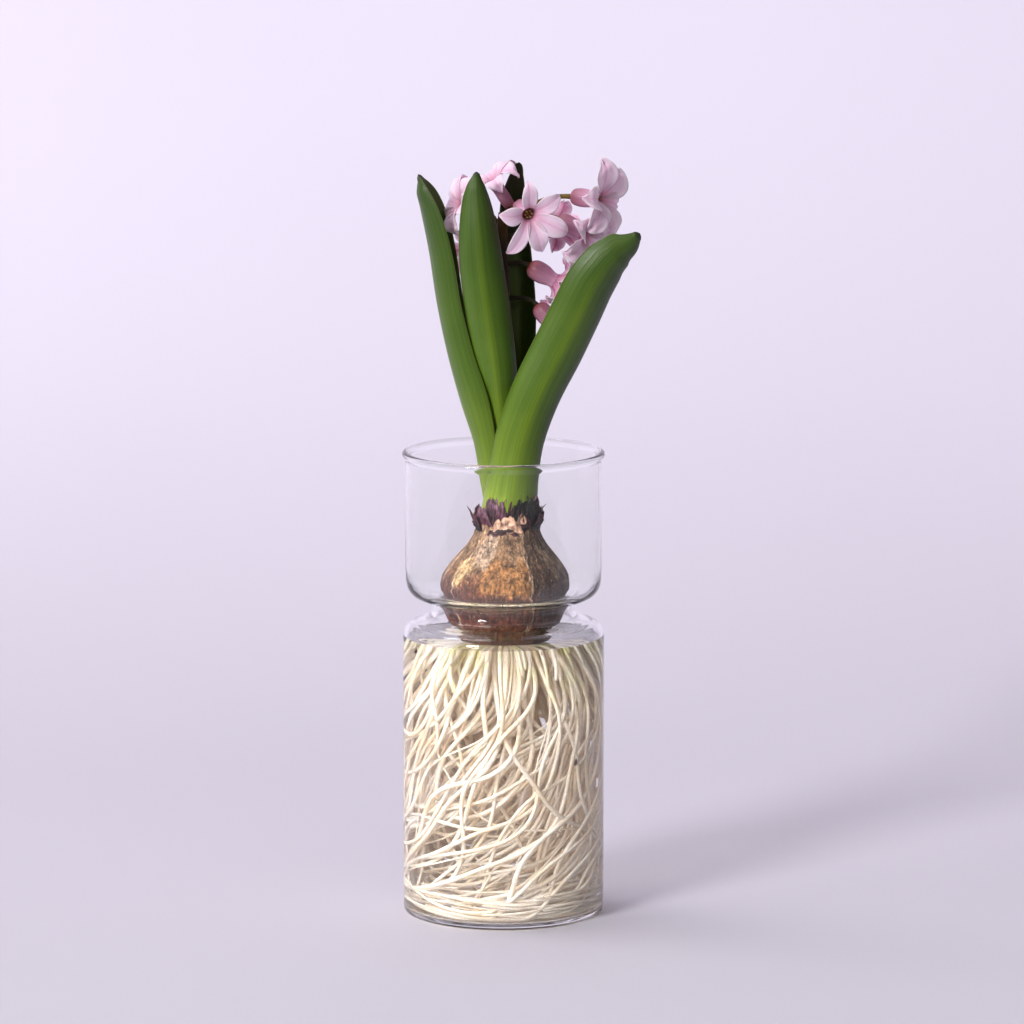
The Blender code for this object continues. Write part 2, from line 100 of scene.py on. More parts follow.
def ramp(tree, factor, stops, interpolation="LINEAR"):
    """A colour ramp fed by `factor`; stops are (place, (r, g, b))."""
    made = add_node(tree, "ShaderNodeValToRGB")
    made.color_ramp.interpolation = interpolation
    while len(made.color_ramp.elements) < len(stops):
        made.color_ramp.elements.new(0.5)
    for element, (place, colour) in zip(made.color_ramp.elements, stops):
        element.position = place
        element.color = (*colour, 1.0)
    wire(tree, factor, made.inputs["Fac"])
    return made.outputs["Color"]


def noise_of(tree, coordinates, scale, detail=3.0, stretch=(1, 1, 1), rough=0.5):
    """Noise on a set of coordinates that may be stretched first."""
    mapping = add_node(tree, "ShaderNodeMapping")
    mapping.inputs["Scale"].default_value = stretch
    wire(tree, coordinates, mapping.inputs["Vector"])
    made = add_node(tree, "ShaderNodeTexNoise", {"Scale": scale, "Detail": detail, "Roughness": rough})
    wire(tree, mapping.outputs["Vector"], made.inputs["Vector"])
    return made.outputs["Fac"]


def mix(tree, kind, factor, first, second):
    """Mix two colours; factor, first and second are sockets or plain values."""
    made = add_node(tree, "ShaderNodeMix", data_type="RGBA", blend_type=kind)
    for socket, value in (("Factor", factor), ("A", first), ("B", second)):
        spot = [s for s in made.inputs if s.name == socket and (s.type == "RGBA" or socket == "Factor")
                and s.enabled][0]
        if hasattr(value, "is_linked"):
            wire(tree, value, spot)
        else:
            spot.default_value = value if socket == "Factor" else (*value, 1.0)
    return [s for s in made.outputs if s.type == "RGBA"][0]


def combine(tree, operation, first, second):
    """Add or multiply two values."""
    made = add_node(tree, "ShaderNodeMath", operation=operation)
    wire(tree, first, made.inputs[0])
    wire(tree, second, made.inputs[1])
    return made.outputs["Value"]


def spread(tree, value, source, target=(0.0, 1.0)):
    """Stretch the range `source` of a value to the range `target`."""
    limits = {"From Min": source[0], "From Max": source[1], "To Min": target[0], "To Max": target[1]}
    made = add_node(tree, "ShaderNodeMapRange", limits)
    wire(tree, value, made.inputs["Value"])
    return made.outputs["Result"]


def either(tree, share, first, second):
    """The first shader at share 0, the second at share 1; share is a socket or a plain value."""
    made = add_node(tree, "ShaderNodeMixShader")
    if hasattr(share, "is_linked"):
        wire(tree, share, made.inputs["Fac"])
    else:
        made.inputs["Fac"].default_value = share
    wire(tree, first, made.inputs[1])
    wire(tree, second, made.inputs[2])
    return made.outputs["Shader"]


def show(tree, shaded):
    """Make a shader what the material shows."""
    wire(tree, shaded, tree.nodes["Material Output"].inputs["Surface"])


def bump(tree, shader, height, strength, distance):
    made = add_node(tree, "ShaderNodeBump", {"Strength": strength, "Distance": distance})
    wire(tree, height, made.inputs["Height"])
    wire(tree, made.outputs["Normal"], shader.inputs["Normal"])


def object_place(tree):
    return add_node(tree, "ShaderNodeTexCoord").outputs["Object"]


def kept(tree, name, output="Vector"):
    """What each vertex of the mesh keeps under a name."""
    return add_node(tree, "ShaderNodeAttribute", attribute_name=name).outputs[output]


def split_axes(tree, vector):
    """The X, Y and Z of a vector, each as a socket."""
    parts = add_node(tree, "ShaderNodeSeparateXYZ")
    wire(tree, vector, parts.inputs["Vector"])
    return parts.outputs


print("finish helpers ready")

# %% [markdown]
# `keep` turns a finished bmesh into a piece that rides on the plant's one body, and says which CAD
# nodes it stands for.

# %% Helpers for pieces
def keep(name, bm, finishes, slot, *nodes):
    mesh = bpy.data.meshes.new(name)
    for face in bm.faces:
        face.smooth = True
    bm.to_mesh(mesh)
    bm.free()
    return keep_mesh(name, mesh, finishes, slot, *nodes)


def keep_mesh(name, mesh, finishes, slot, *nodes):
    piece = bpy.data.objects.new(name, mesh)
    bpy.context.scene.collection.objects.link(piece)
    for finish in finishes if isinstance(finishes, (list, tuple)) else [finishes]:
        mesh.materials.append(finish)
    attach(piece, "root")
    if nodes:
        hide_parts(*nodes)
    print(f"{name}: {len(mesh.polygons)} faces, stands for {', '.join(nodes) or 'nothing'}")
    return piece


def smooth_rows(stations, count):
    """Read a list of stations as a smooth curve, at `count` even steps."""
    rows = [[float(v) for v in station] for station in stations]
    rows = [[2 * a - b for a, b in zip(rows[0], rows[1])]] + rows
    rows = rows + [[2 * a - b for a, b in zip(rows[-1], rows[-2])]]
    out = []
    for step in range(count):
        t = (len(rows) - 3 - 1e-9) * step / (count - 1)
        i, f = int(t), t - int(t)
        out.append([0.5 * (2 * b + (c - a) * f + (2 * a - 5 * b + 4 * c - d) * f * f
                           + (3 * b - a - 3 * c + d) * f ** 3)
                    for a, b, c, d in zip(*rows[i:i + 4])])
    return out


def ease(low, high, value):
    """0 below low, 1 above high, smooth between."""
    t = min(1.0, max(0.0, (value - low) / (high - low)))
    return t * t * (3 - 2 * t)


def turn(profile, steps):
    """Spin a profile (radius, height in mm) into a closed round shell with outward faces."""
    bm = bmesh.new()
    corners = [bm.verts.new((r * MM, 0, z * MM)) for r, z in profile]
    chain = [bm.edges.new(pair) for pair in zip(corners, corners[1:])]
    bmesh.ops.spin(bm, geom=corners + chain, cent=(0, 0, 0), axis=(0, 0, 1),
                   angle=2 * math.pi, steps=steps, use_merge=True)
    bmesh.ops.remove_doubles(bm, verts=bm.verts, dist=1e-6)
    bmesh.ops.recalc_face_normals(bm, faces=bm.faces)
    return bm


print("piece helpers ready")

# %% [markdown]
# The studio is a pale table that curves up into a wall, so there is no line behind the vase. A strip of
# four edges is enough: extrude it, then bevel the fold into a wide curve. Its paper is painted graduated:
# darker on the table as painted shade, lighter up the wall as painted light. The strip begins just in front
# of the vase, so the clear glass doesn't pick it up from below, and its paper shows from its front only, so
# the plant can be looked at from behind the wall.

# %% Table and wall
FLOOR = -0.0003            # a hair under the vase's foot, so the two faces never fight
FRONT_EDGE, WALL, WALL_TOP = -0.34, 1.35, 4.5
HALF_WIDTH, FOLD = 4.0, 1.05
# painted light: the paper is painted darker on the table and lighter up the wall
TABLE_SHADED_TONE, WALL_LIT_TONE = (0.612, 0.586, 0.652), (0.750, 0.704, 0.824)


def make_paper():
    paper, tree, shader = new_finish("studio_paper", Roughness=0.9)
    place = object_place(tree)
    depth = spread(tree, split_axes(tree, place)["Y"], (0.35, 1.05))
    # painted shade on the table, painted light up the wall
    painted_light_falloff = ramp(tree, depth, [(0.0, TABLE_SHADED_TONE), (1.0, WALL_LIT_TONE)], "EASE")
    grain = ramp(tree, noise_of(tree, place, 3.0, 2.0), [(0.3, (0.985,) * 3), (0.7, (1.01,) * 3)])
    wire(tree, mix(tree, "MULTIPLY", 1.0, painted_light_falloff, grain), shader.inputs["Base Color"])
    back = add_node(tree, "ShaderNodeNewGeometry").outputs["Backfacing"]
    clear = add_node(tree, "ShaderNodeBsdfTransparent").outputs["BSDF"]
    show(tree, either(tree, back, shader.outputs["BSDF"], clear))
    return paper


def make_sweep():
    bm = bmesh.new()
    profile = [(FRONT_EDGE, FLOOR), (WALL, FLOOR), (WALL, WALL_TOP)]
    corners = [bm.verts.new((-HALF_WIDTH, y, z)) for y, z in profile]
    chain = [bm.edges.new(pair) for pair in zip(corners, corners[1:])]
    grown = bmesh.ops.extrude_edge_only(bm, edges=chain)["geom"]
    far_side = [g for g in grown if isinstance(g, bmesh.types.BMVert)]
    bmesh.ops.translate(bm, vec=(2 * HALF_WIDTH, 0, 0), verts=far_side)
    fold = [e for e in bm.edges if abs(e.verts[0].co.x - e.verts[1].co.x) > 1
            and abs(e.verts[0].co.y - WALL) < 0.01 and e.verts[0].co.z < 0.01]
    bmesh.ops.bevel(bm, geom=fold, offset=FOLD, affect="EDGES", segments=40, profile=0.5, material=-1)
    bmesh.ops.recalc_face_normals(bm, faces=bm.faces)
    bm.normal_update()
    if sum(face.normal.z - face.normal.y for face in bm.faces) < 0:
        bmesh.ops.reverse_faces(bm, faces=bm.faces)
    for face in bm.faces:
        face.smooth = True
    mesh = bpy.data.meshes.new("studio_sweep")
    bm.to_mesh(mesh)
    bm.free()
    mesh.materials.append(make_paper())
    sweep = bpy.data.objects.new("studio_sweep", mesh)
    bpy.context.scene.collection.objects.link(sweep)
    print("sweep", len(mesh.polygons), "faces")


make_sweep()

# %% [markdown]
# One soft box stands front left and above, as a window would. It makes the small white oblongs on the
# glass and the long soft shadow to the right. A second panel washes the wall. The sky round everything is
# the pale room: it keeps the shadows open and is brighter up to the left, but it is dimmed in reflections,
# so that leaves and glass don't look milky. What glass and water bend into view is a brighter tent, as the
# white walls of a studio are. The tent is weaker where a reflection or a matt surface picks it up.
# Light also has to get in and out of a jar full of roots, so the number of bounces is raised.

# %% Lights
SKY_COLOUR, TENT_COLOUR = (0.93, 0.90, 0.95, 1), (0.95, 0.92, 0.98, 1)
BRIGHT_SIDE = (-0.62, -0.35, 0.70)
SKY_STRENGTH = (0.10, 0.62)      # away from the bright side, towards it
SKY_MIRRORED = 0.35              # share of the sky that reflections see
TENT_STRENGTH = (0.90, 0.42)     # seen straight through glass, and after a reflection
TENT_ON_MATT = 0.35              # share of the tent that lights matt surfaces


def soft_box(name, place, target, size, power, colour):
    lamp = bpy.data.lights.new(name, "AREA")
    lamp.shape, lamp.size, lamp.size_y = "RECTANGLE", size[0], size[1]
    lamp.energy, lamp.color = power, colour
    box = bpy.data.objects.new(name, lamp)
    box.location = place
    box.rotation_euler = (Vector(target) - Vector(place)).to_track_quat("-Z", "Y").to_euler()
    bpy.context.scene.collection.objects.link(box)
    print(name, power, "W")


def make_sky():
    sky = bpy.data.worlds.new("studio_sky")
    sky.use_nodes = True
    tree = sky.node_tree
    room = tree.nodes["Background"]
    room.inputs["Color"].default_value = SKY_COLOUR
    aim = add_node(tree, "ShaderNodeVectorMath", {1: BRIGHT_SIDE}, operation="DOT_PRODUCT")
    wire(tree, add_node(tree, "ShaderNodeTexCoord").outputs["Generated"], aim.inputs[0])
    path = add_node(tree, "ShaderNodeLightPath").outputs
    strength = spread(tree, aim.outputs["Value"], (-0.9, 0.9), SKY_STRENGTH)
    dimmed = spread(tree, path["Is Glossy Ray"], (0, 1), (1.0, SKY_MIRRORED))
    wire(tree, combine(tree, "MULTIPLY", strength, dimmed), room.inputs["Strength"])
    tent = add_node(tree, "ShaderNodeBackground", {"Color": TENT_COLOUR})
    wire(tree, spread(tree, path["Glossy Depth"], (0, 1), TENT_STRENGTH), tent.inputs["Strength"])
    lit = spread(tree, path["Diffuse Depth"], (0, 1), (1.0, TENT_ON_MATT))
    seen = combine(tree, "MULTIPLY", path["Is Transmission Ray"], lit)
    through = either(tree, seen, room.outputs["Background"], tent.outputs["Background"])
    wire(tree, through, tree.nodes["World Output"].inputs["Surface"])
    return sky


soft_box("key_box", (-2.15, -2.80, 1.80), (0, 0, 0.12), (0.95, 0.55), 112, (1.0, 0.99, 0.98))
soft_box("wall_wash", (-0.9, 0.45, 2.3), (-0.1, 1.5, 0.6), (1.4, 0.7), 16, (1.0, 0.98, 1.0))
bpy.context.scene.world = make_sky()
cycles = bpy.context.scene.cycles
cycles.max_bounces, cycles.diffuse_bounces, cycles.transparent_max_bounces = 20, 8, 24
cycles.glossy_bounces, cycles.transmission_bounces = 12, 20

# %% [markdown]
# Clear glass bends what is behind it, but a lamp has to shine through it. So for shadow rays only the
# shader is swapped for a plain transparent one: the light passes, and the eye still sees glass.

# %% Glass and water finishes
def clear_finish(name, index, tint, shade, mirror):
    """index: how much it bends light; shade: what its shadow lets by; mirror: how much it reflects."""
    finish, tree, shader = new_finish(name, Base_Color=(*tint, 1), Roughness=0.0, IOR=index,
                                      Transmission_Weight=1.0, Specular_IOR_Level=mirror)
    shadow = add_node(tree, "ShaderNodeLightPath").outputs["Is Shadow Ray"]
    pass_on = add_node(tree, "ShaderNodeBsdfTransparent", {"Color": (*shade, 1)}).outputs["BSDF"]
    show(tree, either(tree, shadow, shader.outputs["BSDF"], pass_on))
    return finish


clear_glass = clear_finish("clear_glass", 1.48, (0.99, 0.995, 0.99), (0.965, 0.965, 0.97), 0.32)
still_water = clear_finish("still_water", 1.333, (0.99, 0.99, 0.97), (0.985, 0.985, 0.975), 0.2)
print("glass and water mixed")

# %% [markdown]
# The vase is blown in one piece: a straight lower jar, a flat shoulder, a waist that carries the bulb,
# and an open cup with a rolled lip. A turned form is a spin of its profile, wall thickness included.

# %% Vase
ROUND_STEPS = 144
JAR_INSIDE = 40.6          # mm, radius
VASE_OUTSIDE = [(0, 0.9), (20, 0.85), (34, 0.55), (37.2, 0.12), (38.5, 0), (40.6, 0.25), (41.9, 1.0),
                (42.4, 2.2), (42.5, 4.5), (42.5, 60), (42.5, 117.5),
                (42.42, 119.6), (42.05, 121.5), (41.2, 123.1), (39.8, 124.3), (37.6, 125.3), (35.2, 126.1),
                (33.2, 126.9), (31.8, 127.7), (30.7, 128.8), (30.0, 130.2), (29.75, 131.6), (29.9, 132.8),
                (30.5, 133.7), (31.6, 134.3), (34.0, 134.9), (36.4, 135.6), (38.4, 136.7), (39.9, 138.4),
                (40.8, 140.4), (41.25, 143.0), (41.4, 148), (41.4, 170), (41.4, 193.6), (41.7, 194.6),
                (42.3, 195.2), (42.65, 196.0), (42.6, 196.9), (42.1, 197.5), (41.3, 197.7), (40.5, 197.6),
                (39.95, 197.1)]
VASE_INSIDE = [(39.75, 196.2), (39.75, 170), (39.7, 148), (39.5, 143.6), (38.9, 141.1), (37.8, 139.2),
               (36.0, 138.0), (33.6, 137.3), (31.2, 136.8), (29.6, 136.2), (28.4, 135.2), (27.7, 133.9),
               (27.45, 132.2), (27.6, 130.2), (28.3, 128.2), (29.7, 126.6), (32.0, 125.3), (35.0, 124.2),
               (37.8, 123.2), (39.3, 122.2), (40.2, 120.8), (40.6, 118.8), (JAR_INSIDE, 60), (JAR_INSIDE, 6.0),
               (40.2, 4.2), (39.0, 3.1), (36.8, 2.7), (18, 2.5), (0, 2.4)]
keep("vase_glass", turn(VASE_OUTSIDE + VASE_INSIDE, ROUND_STEPS), clear_glass, "glass", "glass_vase")

# %% [markdown]
# Water has no gap to the glass. If its side reached exactly to the wall the two faces would fight, and
# an air gap would mirror like silver, so the water is turned a quarter of a millimetre into the glass.
# At the top it climbs the wall in a small meniscus.

# %% Water
WATER_LEVEL = 118.6
water_profile = [(0, 2.2), (36.8, 2.5), (39.1, 2.9), (40.45, 4.1), (40.85, 6.0), (40.85, 60), (40.85, 119.3),
                 (40.3, 119.2), (39.6, 118.85), (38.6, 118.65), (36.5, WATER_LEVEL), (24, WATER_LEVEL),
                 (0, WATER_LEVEL)]
keep("water_body", turn(water_profile, ROUND_STEPS), still_water, "water", "water")

# %% [markdown]
# Leaves, petals, skins and scales are all thin sheets with two faces. One helper makes such a sheet: a
# grid is created and copied, the two rims are bridged, and then each vertex is put where a small function
# says its face of the sheet lies. Each vertex also keeps its `place`: across (0 to 1), along (0 to 1) and
# which face it is on, so a finish can follow the sheet.

# %% Thin sheets
def thin_sheet(columns, rows, spot):
    """spot(across, along, under) gives a point of the upper or the under face, in mm."""
    bm = bmesh.new()
    place = bm.verts.layers.float_vector.new("place")
    bmesh.ops.create_grid(bm, x_segments=columns, y_segments=rows, size=1.0)
    for vert in bm.verts:
        vert[place] = Vector(((vert.co.x + 1) / 2, (vert.co.y + 1) / 2, 0.0))
    copy = bmesh.ops.duplicate(bm, geom=bm.verts[:] + bm.edges[:] + bm.faces[:])["geom"]
    for vert in [g for g in copy if isinstance(g, bmesh.types.BMVert)]:
        vert[place] = vert[place] + Vector((0, 0, 1))
        vert.co.z = 0.2
    bmesh.ops.bridge_loops(bm, edges=[e for e in bm.edges if e.is_boundary])
    for vert in bm.verts:
        u, v, face = vert[place]
        vert.co = Vector(spot(u, v, face > 0.5)) * MM
    bmesh.ops.recalc_face_normals(bm, faces=bm.faces)
    return bm


def gather(parts):
    """Put several bmeshes into one."""
    whole = bmesh.new()
    for part in parts:
        mesh = bpy.data.meshes.new("loose")
        part.to_mesh(mesh)
        part.free()
        whole.from_mesh(mesh)
        bpy.data.meshes.remove(mesh)
    return whole


def srgb(red, green, blue):
    """A colour as the eye names it (0 to 255) turned into the light values a shader wants."""
    return tuple(((c / 255 + 0.055) / 1.055) ** 2.4 if c > 10 else c / 255 / 12.92 for c in (red, green, blue))


def blend(first, second, share):
    return tuple(a + (b - a) * share for a, b in zip(first, second))


print("sheet helper ready")

# %% [markdown]
# A hyacinth leaf is a thick strap, half rolled into a trough, shiny and faintly ribbed along its length.
# It is yellow green where it leaves the bulb, full green above, with a thin pale margin and a dark
# hooded tip. The ribs are stripes of noise stretched along the leaf, so they run with it as it bends.
# Across the leaf the colour also carries painted light: a painted grey-green highlight near one long
# edge, and painted shade darkening towards the other.

# %% Leaf finish
def make_leaf_finish(name, depth, edge):
    """depth: an overall darkening, at its lowest painted shade for a leaf in shadow; edge: how strong the painted
    shade along one long edge and the painted highlight near the other are.
    """
    finish, tree, shader = new_finish(name, Roughness=0.38, Specular_IOR_Level=0.42)
    place = kept(tree, "place")
    parts = split_axes(tree, place)
    along = ramp(tree, parts["Y"], [(0.0, srgb(152, 172, 52)), (0.14, srgb(122, 150, 40)),
                                            (0.32, srgb(88, 120, 26)), (0.60, srgb(70, 99, 25)),
                                            (0.90, srgb(66, 92, 33)), (0.965, srgb(50, 69, 28)),
                                            (1.0, srgb(32, 42, 22))])
    rib = ramp(tree, parts["X"], [(0.0, (0, 0, 0)), (0.36, (0, 0, 0)), (0.5, (1, 1, 1)),
                                          (0.64, (0, 0, 0)), (1.0, (0, 0, 0))], "EASE")
    low = ramp(tree, parts["Y"], [(0.0, (0.65, 0.65, 0.65)), (0.75, (0.05, 0.05, 0.05)),
                                          (1.0, (0, 0, 0))])
    colour = mix(tree, "MIX", mix(tree, "MULTIPLY", 1.0, rib, low), along, srgb(132, 158, 32))
    stripes = noise_of(tree, place, 1.0, 4.0, (46, 2.0, 1), 0.62)
    tone = ramp(tree, stripes, [(0.30, (0.66, 0.70, 0.60)), (0.52, (1.0, 1.0, 1.0)), (0.72, (1.32, 1.26, 1.3))])
    colour = mix(tree, "MULTIPLY", 0.85, colour, tone)
    patches = noise_of(tree, object_place(tree), 45, 3.0)
    tint = ramp(tree, patches, [(0.35, (0.84, 0.88, 0.82)), (0.65, (1.1, 1.06, 1.06))])
    colour = mix(tree, "MULTIPLY", 0.7, colour, tint)
    margin = ramp(tree, parts["X"], [(0.0, (0.7, 0.7, 0.7)), (0.012, (0, 0, 0)), (0.988, (0, 0, 0)),
                                             (1.0, (0.7, 0.7, 0.7))])
    colour = mix(tree, "MIX", margin, colour, srgb(140, 156, 84))
    # painted highlight near one long edge, painted shade darkening towards the other
    across = ramp(tree, parts["X"], [(0.0, (0.95, 0.95, 0.95)), (0.14, (1.22, 1.16, 1.35)),
                                             (0.42, (1.04, 1.03, 1.06)), (0.68, (0.74, 0.77, 0.62)),
                                             (0.90, (0.40, 0.45, 0.30)), (1.0, (0.34, 0.38, 0.26))])
    colour = mix(tree, "MULTIPLY", edge, colour, across)
    colour = mix(tree, "MULTIPLY", 1.0, colour, (depth, depth, depth * 0.95))
    wire(tree, colour, shader.inputs["Base Color"])
    bump(tree, shader, stripes, 0.35, 0.0006)
    return finish


# lit and shaded copies of one finish: the back leaf's copy is painted far darker as painted shade, the left leaf's
# copy carries less painted side shade
leaf_skin = make_leaf_finish("leaf_skin", 0.92, 0.95)
less_shaded_leaf_skin = make_leaf_finish("less_shaded_leaf_skin", 0.90, 0.25)
shaded_leaf_skin = make_leaf_finish("shaded_leaf_skin", 0.34, 0.3)
print("leaf finish ready")

# %% [markdown]
# Each leaf is given as stations up its length: the middle of its trough, the compass direction its back
# faces, the trough's radius and half the angle it opens. Between stations a smooth curve is read.

# %% Leaves
LEAVES = {
    "leaf_left": [(2.2, 0, 172.2, 185, 9.2, 62), (-0.6, 0.4, 190, 184, 9.6, 74), (-2.8, 0.6, 205, 183, 10.2, 84),
                  (-7, 1, 222, 182, 11.3, 90), (-11.8, 1.2, 240, 180, 11.6, 87), (-16, 1.5, 260, 178, 11.4, 84),
                  (-19.4, 1.5, 280, 177, 11, 85), (-23, 1.2, 293, 176, 10, 88), (-26.8, 0.8, 303, 175, 8.6, 88),
                  (-30.6, 0.5, 309.5, 175, 6.6, 86), (-33.4, 0.5, 313, 175, 3.8, 80),
                  (-35.6, 0.5, 314.4, 175, 0.5, 80)],
    "leaf_middle": [(2.2, 0, 172.2, -100, 6.9, 60), (1.5, -0.2, 195, -100, 7.3, 60), (0.6, -0.6, 210, -100, 8, 60),
                    (-1, -1.2, 222, -99, 8.8, 60), (-2.5, -2.8, 235, -97, 10, 61), (-5.6, -5, 256, -95, 10.7, 61),
                    (-8.8, -7, 276, -92, 10.4, 62), (-10.4, -8.5, 292, -90, 9.3, 62), (-11.2, -10, 304, -90, 7, 62),
                    (-11.4, -12, 311.6, -90, 4.4, 62), (-11.2, -13.8, 315.6, -90, 2, 62),
                    (-11.2, -14.6, 317.2, -90, 0.5, 62)],
    "leaf_right": [(2.2, 0, 172.2, -90, 11.6, 80), (3.2, -2.3, 181, -89, 11.6, 74),
                   (4.4, -4.8, 191, -88, 11.4, 68), (6.8, -5.8, 206, -84, 11.7, 64),
                   (12.6, -6.8, 224, -80, 12.4, 60), (20.6, -7.6, 242, -76, 13.2, 58),
                   (27.6, -9.2, 258, -73, 13.4, 57), (33.6, -11, 271.5, -70, 13.3, 56),
                   (40, -13, 280.8, -66, 12.4, 57), (46.6, -15.5, 286.4, -62, 10, 60),
                   (51.6, -17.8, 289.2, -58, 6.8, 64), (55.2, -19.8, 291.4, -55, 3.2, 66),
                   (56.7, -20.6, 292.2, -55, 0.6, 66)],
    "leaf_back": [(2.2, 0, 172.2, 55, 9.4, 56), (2.8, 1.5, 195, 60, 9.6, 58), (3.6, 3.5, 215, 68, 9.4, 60),
                  (4.6, 5.5, 234, 76, 9.2, 60), (5.2, 7, 253.5, 82, 9.2, 60), (5, 8.5, 270.5, 86, 8.8, 58),
                  (4.6, 9.5, 286, 90, 7.6, 58), (4.2, 10, 301, 90, 6.4, 58), (5.4, 11, 311, 90, 4, 58),
                  (6.6, 11, 318.2, 90, 0.7, 58)],
}
LEAF_ROWS, LEAF_COLUMNS = 100, 30
BLUNT_FROM = 0.92          # from here to the end the tip closes like a thumb, not like a spear
RIBS = 12                  # shallow grooves across the outer face
WALL_MIDDLE, WALL_RIM = 1.9, 0.55  # mm, how thick the leaf is


def leaf_frames(stations):
    """For each row: the trough's middle, its outward and sideways directions, radius and half angle."""
    rows = smooth_rows(stations, LEAF_ROWS + 1)
    middles = [Vector(row[:3]) for row in rows]
    frames = []
    for i, row in enumerate(rows):
        along = (middles[min(i + 1, LEAF_ROWS)] - middles[max(i - 1, 0)]).normalized()
        if i == 0:
            along = Vector((0, 0, 1))
        azimuth = math.radians(row[3])
        out = Vector((math.cos(azimuth), math.sin(azimuth), 0))
        out = (out - along * out.dot(along)).normalized()
        frames.append([middles[i], out, along.cross(out), max(0.3, row[4]), math.radians(row[5])])
    first = round(BLUNT_FROM * LEAF_ROWS)
    for i in range(first, LEAF_ROWS + 1):
        share = (i - first) / (LEAF_ROWS - first)
        dome = frames[first][3] * math.sqrt(max(0.0, 1 - share ** 2.4))
        frames[i][3] = max(0.3, 0.35 * frames[i][3] + 0.65 * dome)
    return frames


def make_leaf(name, seed):
    frames = leaf_frames(LEAVES[name])

    def spot(u, v, inside):
        middle, out, across, radius, half = frames[round(v * LEAF_ROWS)]
        angle = (2 * u - 1) * half
        side = abs(2 * u - 1)
        ripple = 0.35 * noise.noise((u * 1.6 + seed, v * 7.0, seed)) * min(1.0, radius / 6)
        grooves = 0.05 * math.cos(2 * math.pi * RIBS * u) * min(1.0, radius / 8)
        keel = 0.35 * math.exp(-(side / 0.16) ** 2) * ease(1.0, 0.55, v)
        wall = min(WALL_MIDDLE + (WALL_RIM - WALL_MIDDLE) * side ** 2.2, 0.6 * radius)
        reach = radius + ripple + (grooves + keel if not inside else grooves - wall)
        return middle + reach * (math.cos(angle) * out + math.sin(angle) * across)

    bm = thin_sheet(LEAF_COLUMNS, LEAF_ROWS, spot)
    skin = {"leaf_back": shaded_leaf_skin, "leaf_left": less_shaded_leaf_skin}.get(name, leaf_skin)
    keep(name.replace("leaf_", "") + "_leaf", bm, skin, "leaf", name)


for seed, name in enumerate(LEAVES):
    make_leaf(name, 3.7 * seed + 1.3)

# %% [markdown]
# The flower stem is a brown-green scape that leans a little to the left, with a thin pedicel to every
# floret. Higher up, stem and pedicels are painted near black as painted shade. Both are curves with a
# round bevel: each point has its own radius, and the curve is then made a mesh so its place is in its
# vertices.

# %% Stem and pedicels
def tubes_from(name, lines, smoothing, sides):
    """A mesh of round tubes from lines of (x, y, z, radius) in mm."""
    curve = bpy.data.curves.new(name, "CURVE")
    curve.dimensions = "3D"
    curve.bevel_depth = MM
    curve.bevel_resolution = sides
    curve.resolution_u = smoothing
    curve.use_fill_caps = True
    for line in lines:
        spline = curve.splines.new("NURBS" if smoothing > 1 else "POLY")
        spline.points.add(len(line) - 1)
        for point, (x, y, z, radius) in zip(spline.points, line):
            point.co = (x * MM, y * MM, z * MM, 1)
            point.radius = radius
        if smoothing > 1:
            spline.use_endpoint_u = True
            spline.order_u = 4
        spline.use_smooth = True
    holder = bpy.data.objects.new(name, curve)
    bpy.context.scene.collection.objects.link(holder)
    mesh = bpy.data.meshes.new_from_object(holder.evaluated_get(bpy.context.evaluated_depsgraph_get()))
    bpy.data.objects.remove(holder)
    bpy.data.curves.remove(curve)
    bm = bmesh.new()
    bm.from_mesh(mesh)
    bmesh.ops.remove_doubles(bm, verts=bm.verts, dist=1e-7)
    bmesh.ops.recalc_face_normals(bm, faces=bm.faces)
    for face in bm.faces:
        face.smooth = True
    bm.to_mesh(mesh)
    bm.free()
    mesh.name = name
    return mesh


STALK = [(2.2, 0.0, 172.2, 3.5), (1.8, 0.8, 200, 3.5), (0.8, 1.6, 235, 3.3), (-0.4, 2.2, 268, 3.0),
         (-0.6, 3.0, 288, 2.5), (-0.4, 3.4, 298, 1.7)]
TUBE_LENGTH = 14.0
# name, middle of the mouth, direction it faces, turn about its tube, size, how far petals roll back, joint height
FLORETS = [
    ("front", (11, -17, 299.2), (0.34, -0.92, -0.20), 22, 1.20, 0.15, 288),
    ("top", (-4.4, 7, 311.4), (-0.50, -0.15, 0.80), 10, 0.75, 0.9, 296),
    ("left", (-18.6, 4.5, 301.5), (-0.85, -0.30, 0.34), 0, 0.84, 0.8, 290),
    ("right", (41, 5.0, 303.2), (0.88, -0.44, -0.04), 15, 1.0, 0.5, 294),
    ("right_low", (34.4, 1, 288.6), (0.80, -0.36, -0.44), 30, 0.85, 0.6, 284),
    ("low", (22.4, 4, 268.4), (0.84, 0.10, -0.52), 8, 0.70, 0.6, 276),
    ("lowest", (23.0, 0, 248.8), (0.65, -0.10, -0.75), 18, 0.75, 0.7, 262),
    ("back", (22.5, 23, 290), (0.50, 0.85, 0.10), 12, 0.80, 0.5, 286),
    ("back_left", (-13, 25, 279.5), (-0.45, 0.88, 0.10), 5, 0.75, 0.6, 279),
    ("back_low", (-8.5, 24, 254), (-0.20, 0.94, -0.28), 20, 0.75, 0.7, 266),
]


def stalk_middle(height):
    """The point in the middle of the stalk at a height."""
    for low, high in zip(STALK, STALK[1:]):
        if low[2] <= height <= high[2]:
            share = (height - low[2]) / (high[2] - low[2])
            return Vector(low[:3]).lerp(Vector(high[:3]), share)


def pedicel_line(throat, facing, joint):
    along = Vector(facing).normalized()
    foot = Vector(throat) - along * TUBE_LENGTH
    start, end = stalk_middle(joint), foot + along * 0.8
    reach = (foot - start).length
    knots = [start, start + (foot - start) * 0.45 + Vector((0, 0, 0.10 * reach)),
             foot - along * (0.25 * reach), foot - along * 0.6, end]
    radii = [1.35, 1.0, 0.9, 1.05, 1.25]
    return [(*knot, radius) for knot, radius in zip(knots, radii)]


